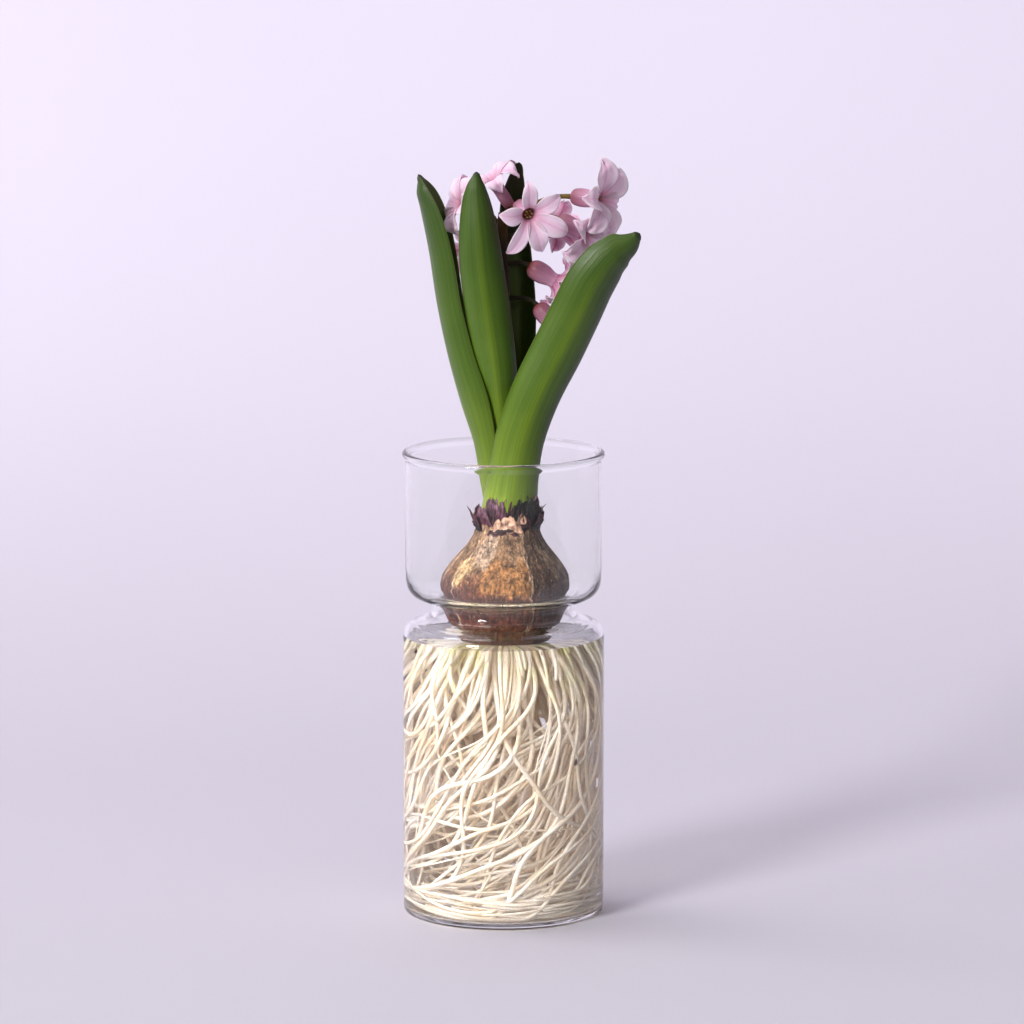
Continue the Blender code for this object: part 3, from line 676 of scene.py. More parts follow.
def make_stem_finish():
    finish, tree, shader = new_finish("shaded_stem_skin", Roughness=0.62, Specular_IOR_Level=0.3)
    place = object_place(tree)
    streaks = noise_of(tree, place, 260, 4.0, (1, 1, 0.12))
    height = spread(tree, split_axes(tree, place)["Z"], (0.19, 0.30))
    # painted shade: most of the stalk and the pedicels are painted near black, for the shade among leaves and
    # florets
    colour = ramp(tree, height, [(0.0, srgb(112, 132, 52)), (0.40, srgb(34, 34, 13)),
                                 (0.85, srgb(44, 36, 17)), (1.0, srgb(104, 84, 34))])
    tone = ramp(tree, streaks, [(0.35, (0.72, 0.66, 0.62)), (0.65, (1.15, 1.1, 1.05))])
    wire(tree, mix(tree, "MULTIPLY", 0.85, colour, tone), shader.inputs["Base Color"])
    bump(tree, shader, streaks, 0.3, 0.0004)
    return finish


shaded_stem_skin = make_stem_finish()
stem_lines = [smooth_rows(STALK, 14)]
stem_lines += [pedicel_line(throat, facing, joint) for _, throat, facing, _, _, _, joint in FLORETS]
keep_mesh("flower_stem", tubes_from("flower_stem", stem_lines, 5, 4), shaded_stem_skin, "stalk", "flower_stalk")

# %% [markdown]
# A hyacinth floret is a fleshy tube, swollen round the ovary, that splits into six lobes which roll back.
# The tube is a spin. Each lobe is a thin sheet whose spine starts inside the tube wall, so the two read
# as one skin. A lobe is palest along its rim and carries a deeper stripe down its middle.

# %% Petal finishes
def make_petal_finish():
    finish, tree, shader = new_finish("petal_skin", Roughness=0.50, Sheen_Weight=0.12, Sheen_Roughness=0.4,
                                      Subsurface_Weight=0.22, Subsurface_Scale=0.002)
    place = kept(tree, "place")
    parts = split_axes(tree, place)
    face_colour = ramp(tree, parts["X"], [(0.0, srgb(252, 236, 246)), (0.10, srgb(248, 220, 238)),
                                                  (0.40, srgb(242, 206, 228)), (0.5, srgb(234, 188, 214)),
                                                  (0.60, srgb(242, 206, 228)), (0.90, srgb(248, 220, 238)),
                                                  (1.0, srgb(252, 236, 246))], "EASE")
    back_colour = ramp(tree, parts["X"], [(0.0, srgb(248, 226, 240)), (0.12, srgb(228, 180, 208)),
                                                  (0.38, srgb(212, 152, 184)), (0.5, srgb(178, 104, 142)),
                                                  (0.62, srgb(212, 152, 184)), (0.88, srgb(228, 180, 208)),
                                                  (1.0, srgb(248, 226, 240))], "EASE")
    colour = mix(tree, "MIX", parts["Z"], face_colour, back_colour)
    # darker towards the lobe's foot: partly the flower's deeper colour there, partly painted shade in the throat
    throat = ramp(tree, parts["Y"], [(0.0, srgb(186, 132, 130)), (0.16, srgb(214, 156, 176)),
                                             (0.42, (1, 1, 1)), (1.0, (1, 1, 1))])
    colour = mix(tree, "MULTIPLY", 0.85, colour, throat)
    veins = noise_of(tree, place, 1.0, 3.0, (42, 3.5, 1), 0.6)
    tone = ramp(tree, veins, [(0.30, (0.86, 0.76, 0.84)), (0.6, (1, 1, 1)), (0.8, (1.06, 1.05, 1.06))])
    wire(tree, mix(tree, "MULTIPLY", 0.8, colour, tone), shader.inputs["Base Color"])
    bump(tree, shader, veins, 0.30, 0.0003)
    return finish


def make_tube_finish():
    finish, tree, shader = new_finish("tube_skin", Roughness=0.46, Subsurface_Weight=0.18,
                                      Subsurface_Scale=0.002)
    place = kept(tree, "place")
    parts = split_axes(tree, place)
    colour = ramp(tree, parts["Y"], [(0.0, srgb(134, 52, 48)), (0.09, srgb(150, 88, 100)),
                                             (0.40, srgb(176, 122, 146)), (0.8, srgb(216, 164, 192)),
                                             (1.0, srgb(226, 180, 208))])
    ribs = noise_of(tree, place, 1.0, 3.0, (40, 1.8, 1), 0.6)
    tone = ramp(tree, ribs, [(0.3, (0.74, 0.64, 0.72)), (0.6, (1, 1, 1)), (0.8, (1.12, 1.1, 1.12))])
    wire(tree, mix(tree, "MULTIPLY", 0.85, colour, tone), shader.inputs["Base Color"])
    bump(tree, shader, ribs, 0.35, 0.0003)
    return finish


petal_skin = make_petal_finish()
tube_skin = make_tube_finish()
print("petal finishes ready")

# %% [markdown]
# The lobe's spine is given twice, spread flat and rolled right back, as distance out from the tube's
# axis and height along it. Every floret blends the two, and each lobe adds a little of its own.

# %% Floret shape
SPINE_FLAT = [(2.45, 10.6), (2.75, 12.6), (4.0, 14.6), (6.8, 16.2), (9.6, 17.2), (12.2, 17.6), (14.2, 17.2),
              (15.4, 16.2)]
SPINE_ROLLED = [(2.45, 10.6), (2.75, 12.6), (4.4, 14.7), (7.2, 15.7), (9.8, 15.2), (11.6, 13.6), (12.4, 11.2),
                (12.2, 8.8)]
LOBE_HALF = [1.45, 1.6, 2.7, 4.0, 4.2, 3.1, 1.6, 0.25]
LOBE_CURVE = [2.6, 2.9, 4.6, 8.5, 10.0, 8.0, 5.0, 3.0]
TUBE_PROFILE = [(0, 0), (1.25, 0.0), (2.05, 0.35), (2.8, 1.1), (3.25, 2.3), (3.5, 4.0), (3.55, 6.0), (3.4, 8.0),
                (3.2, 9.8), (3.15, 11.2), (3.25, 12.3), (3.2, 12.9), (2.95, 12.8), (2.75, 12.0), (2.45, 10.6),
                (2.3, 8.4), (1.6, 6.8), (0, 6.6)]
LOBE_ROWS, LOBE_COLUMNS = 20, 12
LOBE_LEAVES_TUBE = 3.6     # mm from the tube's axis; from here on a lobe's length counts
LOBE_THICK = 0.58          # mm, in the middle of its foot
# Lobes of the florets seen best, in turn: swing about the tube in degrees, length, width, roll, twist.
OWN_LOBES = {
    "front": [(-18, 0.78, 0.86, 0.15), (-4, 0.88, 0.84, 0.10), (2, 0.84, 0.84, 0.15), (0, 1.08, 1.05, 0.10),
              (-12, 1.00, 0.92, 0.20), (-26, 1.20, 0.84, 0.45)],
    "right": [(-6, 1.20, 1.30, 0.45, -20), (-4, 1.28, 1.55, 0.15, 30), (0, 1.20, 1.60, 0.25, 20),
              (0, 1.10, 1.40, 0.50, 0), (0, 1.25, 1.40, 0.35, -25), (6, 1.35, 1.55, 0.30, -20)],
    "right_low": [(0, 1.30, 1.45, 0.75, -25), (6, 1.35, 1.50, 0.75, 30), (0, 1.35, 1.40, 0.30, 40),
                  (-4, 1.30, 1.45, 0.45, 0), (4, 1.40, 1.55, 0.35, -40), (0, 1.40, 1.55, 0.50, -30)],
    "left": [(0, 1.20, 1.30, 0.75), (0, 1.25, 1.40, 0.60), (0, 1.15, 1.30, 0.95), (0, 1.25, 1.30, 0.80),
             (0, 1.20, 1.40, 0.60), (0, 1.15, 1.30, 0.90)],
    "top": [(0, 1.15, 1.35, 0.80), (0, 1.20, 1.50, 0.55), (0, 1.15, 1.35, 0.90), (0, 1.10, 1.30, 0.95),
            (0, 1.15, 1.40, 0.70), (0, 1.25, 1.60, 0.45)],
}
TUBE_FATNESS = {"top": 0.78, "low": 1.25, "lowest": 1.15, "right": 1.12, "right_low": 1.15}


def floret_axes(facing, angle):
    along = Vector(facing).normalized()
    side = along.cross(Vector((0, 0, 1) if abs(along.z) < 0.9 else (0, 1, 0))).normalized()
    up = side.cross(along)
    c, s = math.cos(math.radians(angle)), math.sin(math.radians(angle))
    return along, c * side + s * up, c * up - s * side


def make_lobe(foot, axes, angle, size, own, inner, phase, crimp):
    along, side, up = axes
    swing, length, width, rolled = own[:4]
    twist = math.radians(own[4]) if len(own) > 4 else 0.0
    angle += math.radians(swing)
    out = math.cos(angle) * side + math.sin(angle) * up
    cross = -math.sin(angle) * side + math.cos(angle) * up
    reach = size * length
    spine = []
    for flat, roll in zip(SPINE_FLAT, SPINE_ROLLED):
        r, s = flat[0] + (roll[0] - flat[0]) * rolled, flat[1] + (roll[1] - flat[1]) * rolled
        if r > LOBE_LEAVES_TUBE:
            r, s = LOBE_LEAVES_TUBE + (r - LOBE_LEAVES_TUBE) * reach, 14 + (s - 14) * (0.4 + 0.6 * reach)
        spine.append((r, s))
    spine = smooth_rows([(r, s, h, c) for (r, s), h, c in zip(spine, LOBE_HALF, LOBE_CURVE)],
                        LOBE_ROWS + 1)
    broad = (0.45 + 0.55 * size) * width * (0.94 if inner else 1.04)

    def spot(u, v, lower):
        i = round(v * LOBE_ROWS)
        r, s, half, curve = spine[i]
        before, after = spine[max(i - 1, 0)], spine[min(i + 1, LOBE_ROWS)]
        slope = Vector((after[0] - before[0], after[1] - before[1])).normalized()
        normal = along * slope.x - out * slope.y
        spun = twist * ease(0.15, 0.65, v)
        over, normal = (math.cos(spun) * cross + math.sin(spun) * normal,
                        math.cos(spun) * normal - math.sin(spun) * cross)
        w = 2 * u - 1
        half = max(0.2, half) * (1 + (broad - 1) * ease(0.15, 0.4, v))
        bend = half * w / curve
        cup = curve * (1 - math.cos(bend)) * (1 - 0.6 * ease(0.3, 0.8, v))
        cup -= 0.20 * math.exp(-(w / 0.16) ** 2) * ease(0.15, 0.4, v)
        ruffle = 1.3 * noise.noise((w * 0.9 + phase, v * 3.2, phase)) * w * w * ease(0.3, 0.7, v)
        ruffle += 0.9 * noise.noise((phase, v * 2.4, 9)) * ease(0.4, 1.0, v)
        ruffle += (crimp - 1) * 1.5 * noise.noise((w * 2.2 + phase, v * 5.5, phase)) * ease(0.35, 0.8, v)
        thick = LOBE_THICK * (1 - 0.55 * w * w) * (1 - 0.45 * v)
        lift = cup + ruffle + (0.06 if inner else -0.06) - (thick if lower else 0)
        drift = 1.8 * noise.noise((phase, 4.5, 0)) * v * v
        return foot + out * r + along * s + over * (curve * math.sin(bend) + drift) + normal * lift

    return thin_sheet(LOBE_COLUMNS, LOBE_ROWS, spot)


def make_tube(foot, axes, fatness):
    along, side, up = axes
    bm = turn(TUBE_PROFILE, 30)
    place = bm.verts.layers.float_vector.new("place")
    for vert in bm.verts:
        x, y, z = vert.co / MM
        angle = math.atan2(y, x)
        full = 1 + (fatness - 1) * ease(0.0, 2.0, z) * ease(12.4, 8.0, z)
        ridge = full * (1 + 0.05 * math.cos(6 * angle))
        vert[place] = Vector((abs(angle) / math.pi, z / TUBE_LENGTH, 0))
        vert.co = (foot + (side * x + up * y) * ridge + along * z) * MM
    bmesh.ops.recalc_face_normals(bm, faces=bm.faces)
    return bm


def make_floret(name, throat, facing, angle, size, rolled, seed):
    rng = random.Random(seed)
    axes = floret_axes(facing, angle)
    foot = Vector(throat) - axes[0] * TUBE_LENGTH
    tube = make_tube(foot, axes, TUBE_FATNESS.get(name, 1.0))
    for face in tube.faces:
        face.material_index = 1
    parts = [tube]
    for lobe in range(6):
        chance = (rng.uniform(-7, 7), rng.uniform(0.94, 1.16), rng.uniform(0.95, 1.15),
                  rolled + rng.uniform(-0.2, 0.15))
        own = OWN_LOBES[name][lobe] if name in OWN_LOBES else chance
        parts.append(make_lobe(foot, axes, math.pi * lobe / 3, size, own, lobe % 2, rng.uniform(0, 50),
                               1.0 if name == "front" else 1.9))
    keep(name + "_floret", gather(parts), [petal_skin, tube_skin], "petal", "floret_" + name)


for seed, (name, throat, facing, angle, size, rolled, _) in enumerate(FLORETS):
    make_floret(name, throat, facing, angle, size, rolled, 40 + seed)

# %% [markdown]
# Inside each tube six ochre anthers stand round a short pistil. They are small and many, so each anther
# is a coarse ball drawn out to a grain.

# %% Anthers
def make_anther_finish():
    finish, tree, shader = new_finish("anther_dust", Roughness=0.8)
    grain = noise_of(tree, object_place(tree), 2600, 2.0)
    wire(tree, ramp(tree, grain, [(0.3, srgb(112, 74, 40)), (0.7, srgb(206, 164, 84))]), shader.inputs["Base Color"])
    bump(tree, shader, grain, 0.5, 0.0002)
    return finish


def make_anthers(name, throat, facing, angle):
    along, side, up = floret_axes(facing, angle)
    foot = Vector(throat) - along * TUBE_LENGTH
    turned = Matrix((side, up, along)).transposed().to_4x4()
    bm = bmesh.new()
    grains = [(1.45 * math.cos(a), 1.45 * math.sin(a), 11.7, 0.52, 1.5)
              for a in [math.pi / 6 + math.pi * k / 3 for k in range(6)]] + [(0, 0, 10.6, 0.7, 1.5)]
    for x, y, z, wide, tall in grains:
        spot = foot + side * x + up * y + along * z
        matrix = Matrix.Translation(spot * MM) @ turned @ Matrix.Diagonal((wide * MM, wide * MM, tall * MM, 1))
        bmesh.ops.create_uvsphere(bm, u_segments=10, v_segments=7, radius=1.0, matrix=matrix)
    keep(name + "_anthers", bm, anther_dust, "anther", "stamens_" + name)


anther_dust = make_anther_finish()
for name, throat, facing, angle, _, _, _ in FLORETS:
    make_anthers(name, throat, facing, angle)

# %% [markdown]
# The bulb is a turned body that leans a little to the right. Its shape is the neck, the belly that sits
# in the vase's waist, and the flat base. It is spun finely, then pushed in and out with noise that is
# stretched upwards, which gives the long furrows of the fleshy scales under the dry skins.

# %% Bulb body
BULB_CENTRE_X = 0.5
BULB_LEAN = 0.06           # sideways for every mm above the belly
LUMP_DEPTH = 0.38          # mm, how far furrows and lumps push the surface
BULB_PROFILE = [(0, 117.9), (7, 117.9), (13, 118.1), (16.4, 118.8), (18.8, 120.0), (21.4, 122.8), (23.3, 126.0),
                (24.6, 130.4), (25.4, 133.6), (26.4, 137.2), (26.9, 140.2), (26.2, 144.4), (24.9, 147.0),
                (23.0, 149.8), (19.6, 154.0), (16.4, 157.8), (14.4, 161.0), (12.9, 164.2), (12.1, 168.0),
                (11.3, 171.4), (9.0, 173.0), (0, 173.0)]


def bulb_centre(z):
    return BULB_CENTRE_X + BULB_LEAN * max(0.0, z - 140)


def skin_radius(z):
    """The bulb's own radius at height z, in mm."""
    for (r0, z0), (r1, z1) in zip(BULB_PROFILE[2:], BULB_PROFILE[3:]):
        if z0 <= z <= z1:
            return r0 + (r1 - r0) * (z - z0) / (z1 - z0)
    return BULB_PROFILE[2][0] if z < 118.1 else 11.0


def lumps(angle, z, seed=0.0):
    """Furrows and lumps of the skin, about -1 to 1, the same all round at angle 0 and 360."""
    ring = Vector((math.cos(angle), math.sin(angle), 0))
    furrow = noise.noise(ring * 5.5 + Vector((seed, 0, z * 0.020)))
    lump = noise.noise(ring * 2.2 + Vector((seed, 7, z * 0.06)))
    fine = noise.noise(ring * 16 + Vector((seed, 3, z * 0.09)))
    return 0.60 * furrow + 0.60 * lump + (0.35 + 0.75 * ease(150, 134, z)) * fine


def patch(angle, z, about, height, wide, tall, seed):
    """A soft-edged, ragged patch of the skin: 1 in its middle, 0 outside."""
    ring = Vector((math.cos(angle), math.sin(angle), 0))
    off = (angle - math.radians(about) + math.pi) % (2 * math.pi) - math.pi
    far = math.hypot(math.degrees(off) / wide, (z - height) / tall)
    far += 0.55 * noise.noise(ring * 6 + Vector((seed, 0, z * 0.09)))
    far += 0.30 * noise.noise(ring * 19 + Vector((0, seed, z * 0.24)))
    return 1 - ease(0.75, 1.05, far)


RUST, TAN, CREAM = srgb(112, 64, 42), srgb(152, 122, 94), srgb(202, 180, 160)
OCHRE, PLUM, TAUPE = srgb(160, 114, 68), srgb(74, 46, 46), srgb(80, 60, 47)


def skin_colour(angle, z):
    """The dry skin's colour: plum and rust low down, ochre and tan at the front, and dark taupe at the right, which
    is painted shade on the side turned from the light.
    """
    colour = blend(RUST, TAN, ease(138, 160, z))
    # painted shade: the side facing right, away from the key light, is darkened to taupe
    shade = 0.5 + 0.5 * math.cos(angle - math.radians(-10))
    colour = blend(colour, TAUPE, 0.92 * ease(0.62, 0.80, shade))
    for about, height, wide, tall, tone, strength, seed in [
            (-90, 145, 25, 13, OCHRE, 0.95, 1.0), (-84, 160, 24, 8, TAN, 0.8, 2.0),
            (-120, 158, 17, 7, CREAM, 0.75, 3.0), (-150, 138, 26, 9, PLUM, 0.55, 4.0),
            (-135, 130, 24, 6, PLUM, 0.9, 5.0), (-140, 149, 12, 5, srgb(206, 178, 134), 0.8, 6.0),
            (-88, 133, 60, 6, srgb(84, 42, 32), 0.85, 7.0), (-20, 152, 30, 8, srgb(130, 112, 94), 0.7, 8.0),
            (-30, 134, 34, 8, srgb(62, 46, 40), 0.8, 9.0), (30, 158, 26, 7, CREAM, 0.7, 10.0),
            (70, 140, 34, 12, OCHRE, 0.8, 11.0), (120, 150, 26, 10, TAN, 0.8, 12.0),
            (150, 134, 28, 9, PLUM, 0.8, 13.0), (180, 152, 20, 8, CREAM, 0.5, 14.0)]:
        colour = blend(colour, tone, strength * patch(angle, z, about, height, wide, tall, seed))
    ring = Vector((math.cos(angle), math.sin(angle), 0))
    streak = noise.noise(ring * 24 + Vector((0, 0, z * 0.03)))
    wet = 1 - ease(126, 133, z)
    colour = blend(colour, srgb(92, 36, 24), 0.75 * wet)
    strength = (1 + 0.34 * streak - 0.12 * wet) * 0.86
    return tuple(max(0.005, c * strength) for c in colour)


def paint_skin(bm):
    """Zone colours everywhere; the torn rims of a sheet get a pale lip."""
    paint = bm.verts.layers.float_color.new("paint")
    place = bm.verts.layers.float_vector.get("place")
    for vert in bm.verts:
        x, y, z = vert.co / MM
        colour = skin_colour(math.atan2(y, x - bulb_centre(z)), z)
        if place:
            rim = min(vert[place].x, 1 - vert[place].x)
            colour = blend(colour, blend(colour, CREAM, 0.7), ease(0.030, 0.0, rim))
        vert[paint] = (*colour, 1)


def make_bulb_body():
    fine = smooth_rows([(r, z) for r, z in BULB_PROFILE[2:-2]], 90)
    bm = turn([(0, 117.9), (7, 117.95)] + [tuple(p) for p in fine] + [(9.0, 173.0), (0, 173.0)], 168)
    for vert in bm.verts:
        x, y, z = vert.co / MM
        r = math.hypot(x, y)
        angle = math.atan2(y, x)
        push = (LUMP_DEPTH * lumps(angle, z) - 0.15) * ease(4, 12, r)
        if r > 0.01:
            x, y = x * (r + push) / r, y * (r + push) / r
        vert.co = Vector((x + bulb_centre(z), y, z)) * MM
    paint_skin(bm)
    return bm


print("bulb belly:", 2 * max(r for r, z in BULB_PROFILE), "mm across")

# %% [markdown]
# Dry bulb skin is layered paper: it has fibres that run from base to neck, flakes, specks and a dull
# shine, and it turns darker and glossy where the water wets it. The broad zones are painted on the
# vertices by height and direction; the finish adds fibres, flakes and specks in Object coordinates.

# %% Skin finish
WET_EDGE = (0.126, 0.133)  # metres: soaked below the first height, dry above the second
WET_ROUGHNESS, DRY_ROUGHNESS = 0.22, 0.66
FIBRE_CONTRAST = 0.42


def make_skin_finish():
    finish, tree, shader = new_finish("bulb_skin", Specular_IOR_Level=0.45)
    paint = kept(tree, "paint", "Color")
    place = object_place(tree)
    fibres = noise_of(tree, place, 560, 5.0, (1, 1, 0.11), 0.66)
    flakes = noise_of(tree, place, 230, 6.0, (1, 1, 0.7), 0.72)
    specks = noise_of(tree, place, 1500, 2.0, (1, 1, 0.6))
    tone = ramp(tree, fibres, [(0.30, (1 - FIBRE_CONTRAST,) * 3), (0.5, (1, 1, 1)),
                               (0.72, (1 + 0.7 * FIBRE_CONTRAST,) * 3)])
    colour = mix(tree, "MULTIPLY", 1.0, paint, tone)
    tint = ramp(tree, flakes, [(0.38, (0.34, 0.28, 0.27)), (0.47, (0.86, 0.82, 0.80)), (0.54, (1.08, 1.05, 1.0)),
                               (0.62, (1.75, 1.65, 1.55))])
    colour = mix(tree, "MULTIPLY", 0.85, colour, tint)
    crust = noise_of(tree, place, 760, 5.0, (1, 1, 0.55), 0.75)
    cracked = ramp(tree, crust, [(0.40, (0.22, 0.17, 0.16)), (0.50, (0.90, 0.88, 0.86)), (0.60, (1.5, 1.4, 1.3))])
    colour = mix(tree, "MULTIPLY", 0.9, colour, cracked)
    pale = ramp(tree, specks, [(0.66, (0, 0, 0)), (0.72, (0.55, 0.55, 0.55))])
    colour = mix(tree, "MIX", pale, colour, srgb(228, 208, 182))
    wire(tree, colour, shader.inputs["Base Color"])
    roughness = spread(tree, split_axes(tree, place)["Z"], WET_EDGE, (WET_ROUGHNESS, DRY_ROUGHNESS))
    wire(tree, roughness, shader.inputs["Roughness"])
    bump(tree, shader, combine(tree, "ADD", fibres, flakes), 0.9, 0.0012)
    return finish


bulb_skin = make_skin_finish()
keep("bulb_body", make_bulb_body(), bulb_skin, "bulb_flesh", "bulb")

# %% [markdown]
# Four dry skins wrap the belly, each a torn sheet lying on the body with edges that lift. Their rims are
# made ragged by letting noise choose how far round and how high each sheet reaches.

# %% Dry skins
SKIN_THICK = 0.34          # mm
SKIN_ROWS = 64
SKINS = [  # name, from angle, to angle, lowest, highest, how far it stands off, seed
    ("front_skin", "tunic_front", -142, -64, 122.4, 167.4, 0.72, 1.0),
    ("left_skin", "tunic_left", 138, 226, 122.6, 165.0, 0.42, 2.0),
    ("right_skin", "tunic_right", -68, 44, 122.4, 166.0, 0.40, 3.0),
    ("back_skin", "tunic_back", 36, 146, 122.8, 166.5, 0.62, 4.0)]


def make_skin_sheet(first, last, low, high, off, seed):
    def spot(u, v, under):
        torn = 7.0 * noise.noise((v * 3.4, seed, 0)) + 3.0 * noise.noise((v * 13, seed, 5))
        torn_far = 7.0 * noise.noise((v * 3.4, seed, 20)) + 3.0 * noise.noise((v * 13, seed, 25))
        a0, a1 = first + torn, last + torn_far
        angle = math.radians(a0 + (a1 - a0) * u)
        top = high + 2.6 * noise.noise((u * 7, seed, 40)) + 1.6 * noise.noise((u * 24, seed, 45))
        foot = low + 1.6 * noise.noise((u * 6, seed, 60)) + 0.8 * noise.noise((u * 22, seed, 65))
        z = foot + (top - foot) * v
        edge = min(u, 1 - u) * (last - first)
        lift = 0.55 * math.exp(-(edge / 2.6) ** 2) * (0.6 + noise.noise((v * 6, seed, 80)))
        lift += 0.9 * ease(0.93, 1.0, v) * (0.5 + noise.noise((u * 9, seed, 90)))
        lift *= 1 - 0.55 * (1 - ease(134, 140, z)) * ease(122, 127, z)
        r = skin_radius(z) + LUMP_DEPTH * lumps(angle, z) + off + 0.22 * lumps(angle, z, seed * 9) + lift
        r -= SKIN_THICK if under else 0
        return (bulb_centre(z) + r * math.cos(angle), r * math.sin(angle), z)

    bm = thin_sheet(int((last - first) * 0.9), SKIN_ROWS, spot)
    paint_skin(bm)
    return bm


for name, node, first, last, low, high, off, seed in SKINS:
    keep(name, make_skin_sheet(first, last, low, high, off, seed), bulb_skin, "bulb_skin", node)

# %% [markdown]
# Round the neck stand the dried tops of the outer scales: a crumpled collar of small torn flaps, plum
# and nearly black, with lilac and cream where the paper catches the light: partly the paper's own colour,
# partly painted highlight. Each flap is a sheet whose top is cut to points by noise, and a few thin spikes
# stick out between them.

# %% Collar finish
def make_collar_finish():
    finish, tree, shader = new_finish("collar_paper", Roughness=0.52)
    paint = kept(tree, "paint", "Color")
    place = object_place(tree)
    fibres = noise_of(tree, place, 900, 4.0, (1, 1, 0.2), 0.6)
    blots = noise_of(tree, place, 420, 3.0)
    tone = ramp(tree, fibres, [(0.32, (0.45, 0.42, 0.45)), (0.5, (1, 1, 1)), (0.68, (1.7, 1.6, 1.7))])
    tint = ramp(tree, blots, [(0.4, (0.6, 0.5, 0.55)), (0.6, (1.25, 1.2, 1.25))])
    colour = mix(tree, "MULTIPLY", 1.0, mix(tree, "MULTIPLY", 1.0, paint, tone), tint)
    wire(tree, colour, shader.inputs["Base Color"])
    bump(tree, shader, fibres, 0.7, 0.0006)
    return finish


collar_paper = make_collar_finish()
print("collar finish ready")

# %% [markdown]
# Every flap is placed by the middle of its arc, its width, how high it reaches and how far it leans out.
# The first row stands in front and is the cream one with a plum foot; the others alternate plum, lilac
# and near black all the way round. A flap runs from its first colour at the foot to its second at the
# top, and the lilac tops are painted highlight.

# %% Collar
LILAC_HIGHLIGHT, NEAR_BLACK, DEEP_PLUM = srgb(116, 84, 98), srgb(30, 24, 24), srgb(76, 34, 48)
WRINKLED_CREAM, DARK_GREEN = srgb(196, 162, 132), srgb(30, 34, 24)
FLAPS = {  # node: list of (middle angle, half width in degrees, low, high, radius, lean out, colours)
    "collar_scale_1": [(-93, 30, 164.6, 173.2, 14.0, 0.5, (WRINKLED_CREAM, WRINKLED_CREAM)),
                       (-92, 26, 166.0, 184.0, 12.5, 0.9, (NEAR_BLACK, LILAC_HIGHLIGHT)),
                       (-66, 24, 166.0, 184.6, 12.6, 1.4, (NEAR_BLACK, DARK_GREEN)),
                       (-80, 17, 166.0, 185.4, 12.9, 0.8, (NEAR_BLACK, DEEP_PLUM)),
                       (-100, 34, 162.4, 167.8, 13.9, 0.5, (DEEP_PLUM, NEAR_BLACK)),
                       (-68, 9, 168.5, 174.2, 14.2, 0.8, (WRINKLED_CREAM, TAN)),
                       (-112, 18, 167.0, 183.6, 12.9, 0.6, (DEEP_PLUM, LILAC_HIGHLIGHT))],
    "collar_scale_2": [(-48, 26, 165.5, 182.0, 12.9, 2.2, (NEAR_BLACK, DARK_GREEN)),
                       (-62, 14, 167.0, 174.5, 13.8, 1.0, (DEEP_PLUM, NEAR_BLACK)),
                       (-24, 18, 165.0, 174.0, 13.6, 1.6, (NEAR_BLACK, DEEP_PLUM)),
                       (-40, 10, 171.0, 182.0, 13.3, 1.4, (NEAR_BLACK, LILAC_HIGHLIGHT))],
    "collar_scale_3": [(22, 30, 165.5, 175.4, 12.9, 1.4, (DEEP_PLUM, LILAC_HIGHLIGHT)),
                       (48, 18, 165.0, 173.0, 13.6, 1.4, (NEAR_BLACK, DEEP_PLUM))],
    "collar_scale_4": [(92, 30, 165.5, 176.0, 12.9, 1.4, (DEEP_PLUM, LILAC_HIGHLIGHT)),
                       (120, 20, 165.0, 173.6, 13.6, 1.6, (NEAR_BLACK, DEEP_PLUM)),
                       (76, 14, 166.0, 172.0, 13.9, 1.2, (WRINKLED_CREAM, TAN))],
    "collar_scale_5": [(164, 28, 165.5, 176.4, 12.9, 1.6, (DEEP_PLUM, LILAC_HIGHLIGHT)),
                       (-142, 24, 165.0, 177.4, 13.2, 2.0, (DEEP_PLUM, LILAC_HIGHLIGHT)),
                       (-128, 12, 168.0, 182.0, 13.0, 0.9, (NEAR_BLACK, LILAC_HIGHLIGHT)),
                       (-158, 14, 164.5, 172.6, 14.0, 1.8, (NEAR_BLACK, DEEP_PLUM))],
}
FLAP_COLUMNS, FLAP_ROWS = 26, 16
FLAP_THICK = 0.28          # mm


def make_flap(middle, half, low, high, radius, lean, colours, seed):
    def spot(u, v, under):
        w = 2 * u - 1
        ragged = 0.5 + 0.5 * noise.noise((u * 5.5, seed, 0)) + 0.35 * noise.noise((u * 17, seed, 3))
        top = low + (high - low) * (0.62 + 0.42 * ragged) * (1 - 0.45 * abs(w) ** 2.5)
        z = low + (top - low) * v
        angle = math.radians(middle + half * w * (1 - 0.25 * v))
        crumple = 0.65 * noise.noise((u * 4, v * 3, seed)) + 0.5 * noise.noise((u * 11, v * 6, seed + 9))
        r = radius + lean * v ** 1.6 + crumple * (0.4 + v) - (FLAP_THICK if under else 0)
        return (bulb_centre(z) + r * math.cos(angle), r * math.sin(angle), z)

    bm = thin_sheet(FLAP_COLUMNS, FLAP_ROWS, spot)
    paint = bm.verts.layers.float_color.new("paint")
    place = bm.verts.layers.float_vector["place"]
    for vert in bm.verts:
        u, v, _ = vert[place]
        # the top colour: where it is lilac, it is painted highlight
        share = ease(0.35, 0.95, v + 0.35 * noise.noise((u * 9, v * 4, seed + 30)))
        vert[paint] = (*blend(colours[0], colours[1], share), 1)
    return bm


SPIKES = [  # start, end, radius, node they are made with
    ((11.6, -6.0, 168.5), (17.8, -6.6, 176.8), 0.85, "collar_scale_2"),
    ((12.6, -1.5, 168.0), (16.2, -1.0, 175.4), 0.9, "collar_scale_2"),
    ((-11.8, 2.0, 167.0), (-15.2, 1.4, 174.6), 0.9, "collar_scale_5"),
    ((3.0, 13.4, 170.0), (3.4, 16.0, 177.2), 0.6, "collar_scale_4")]


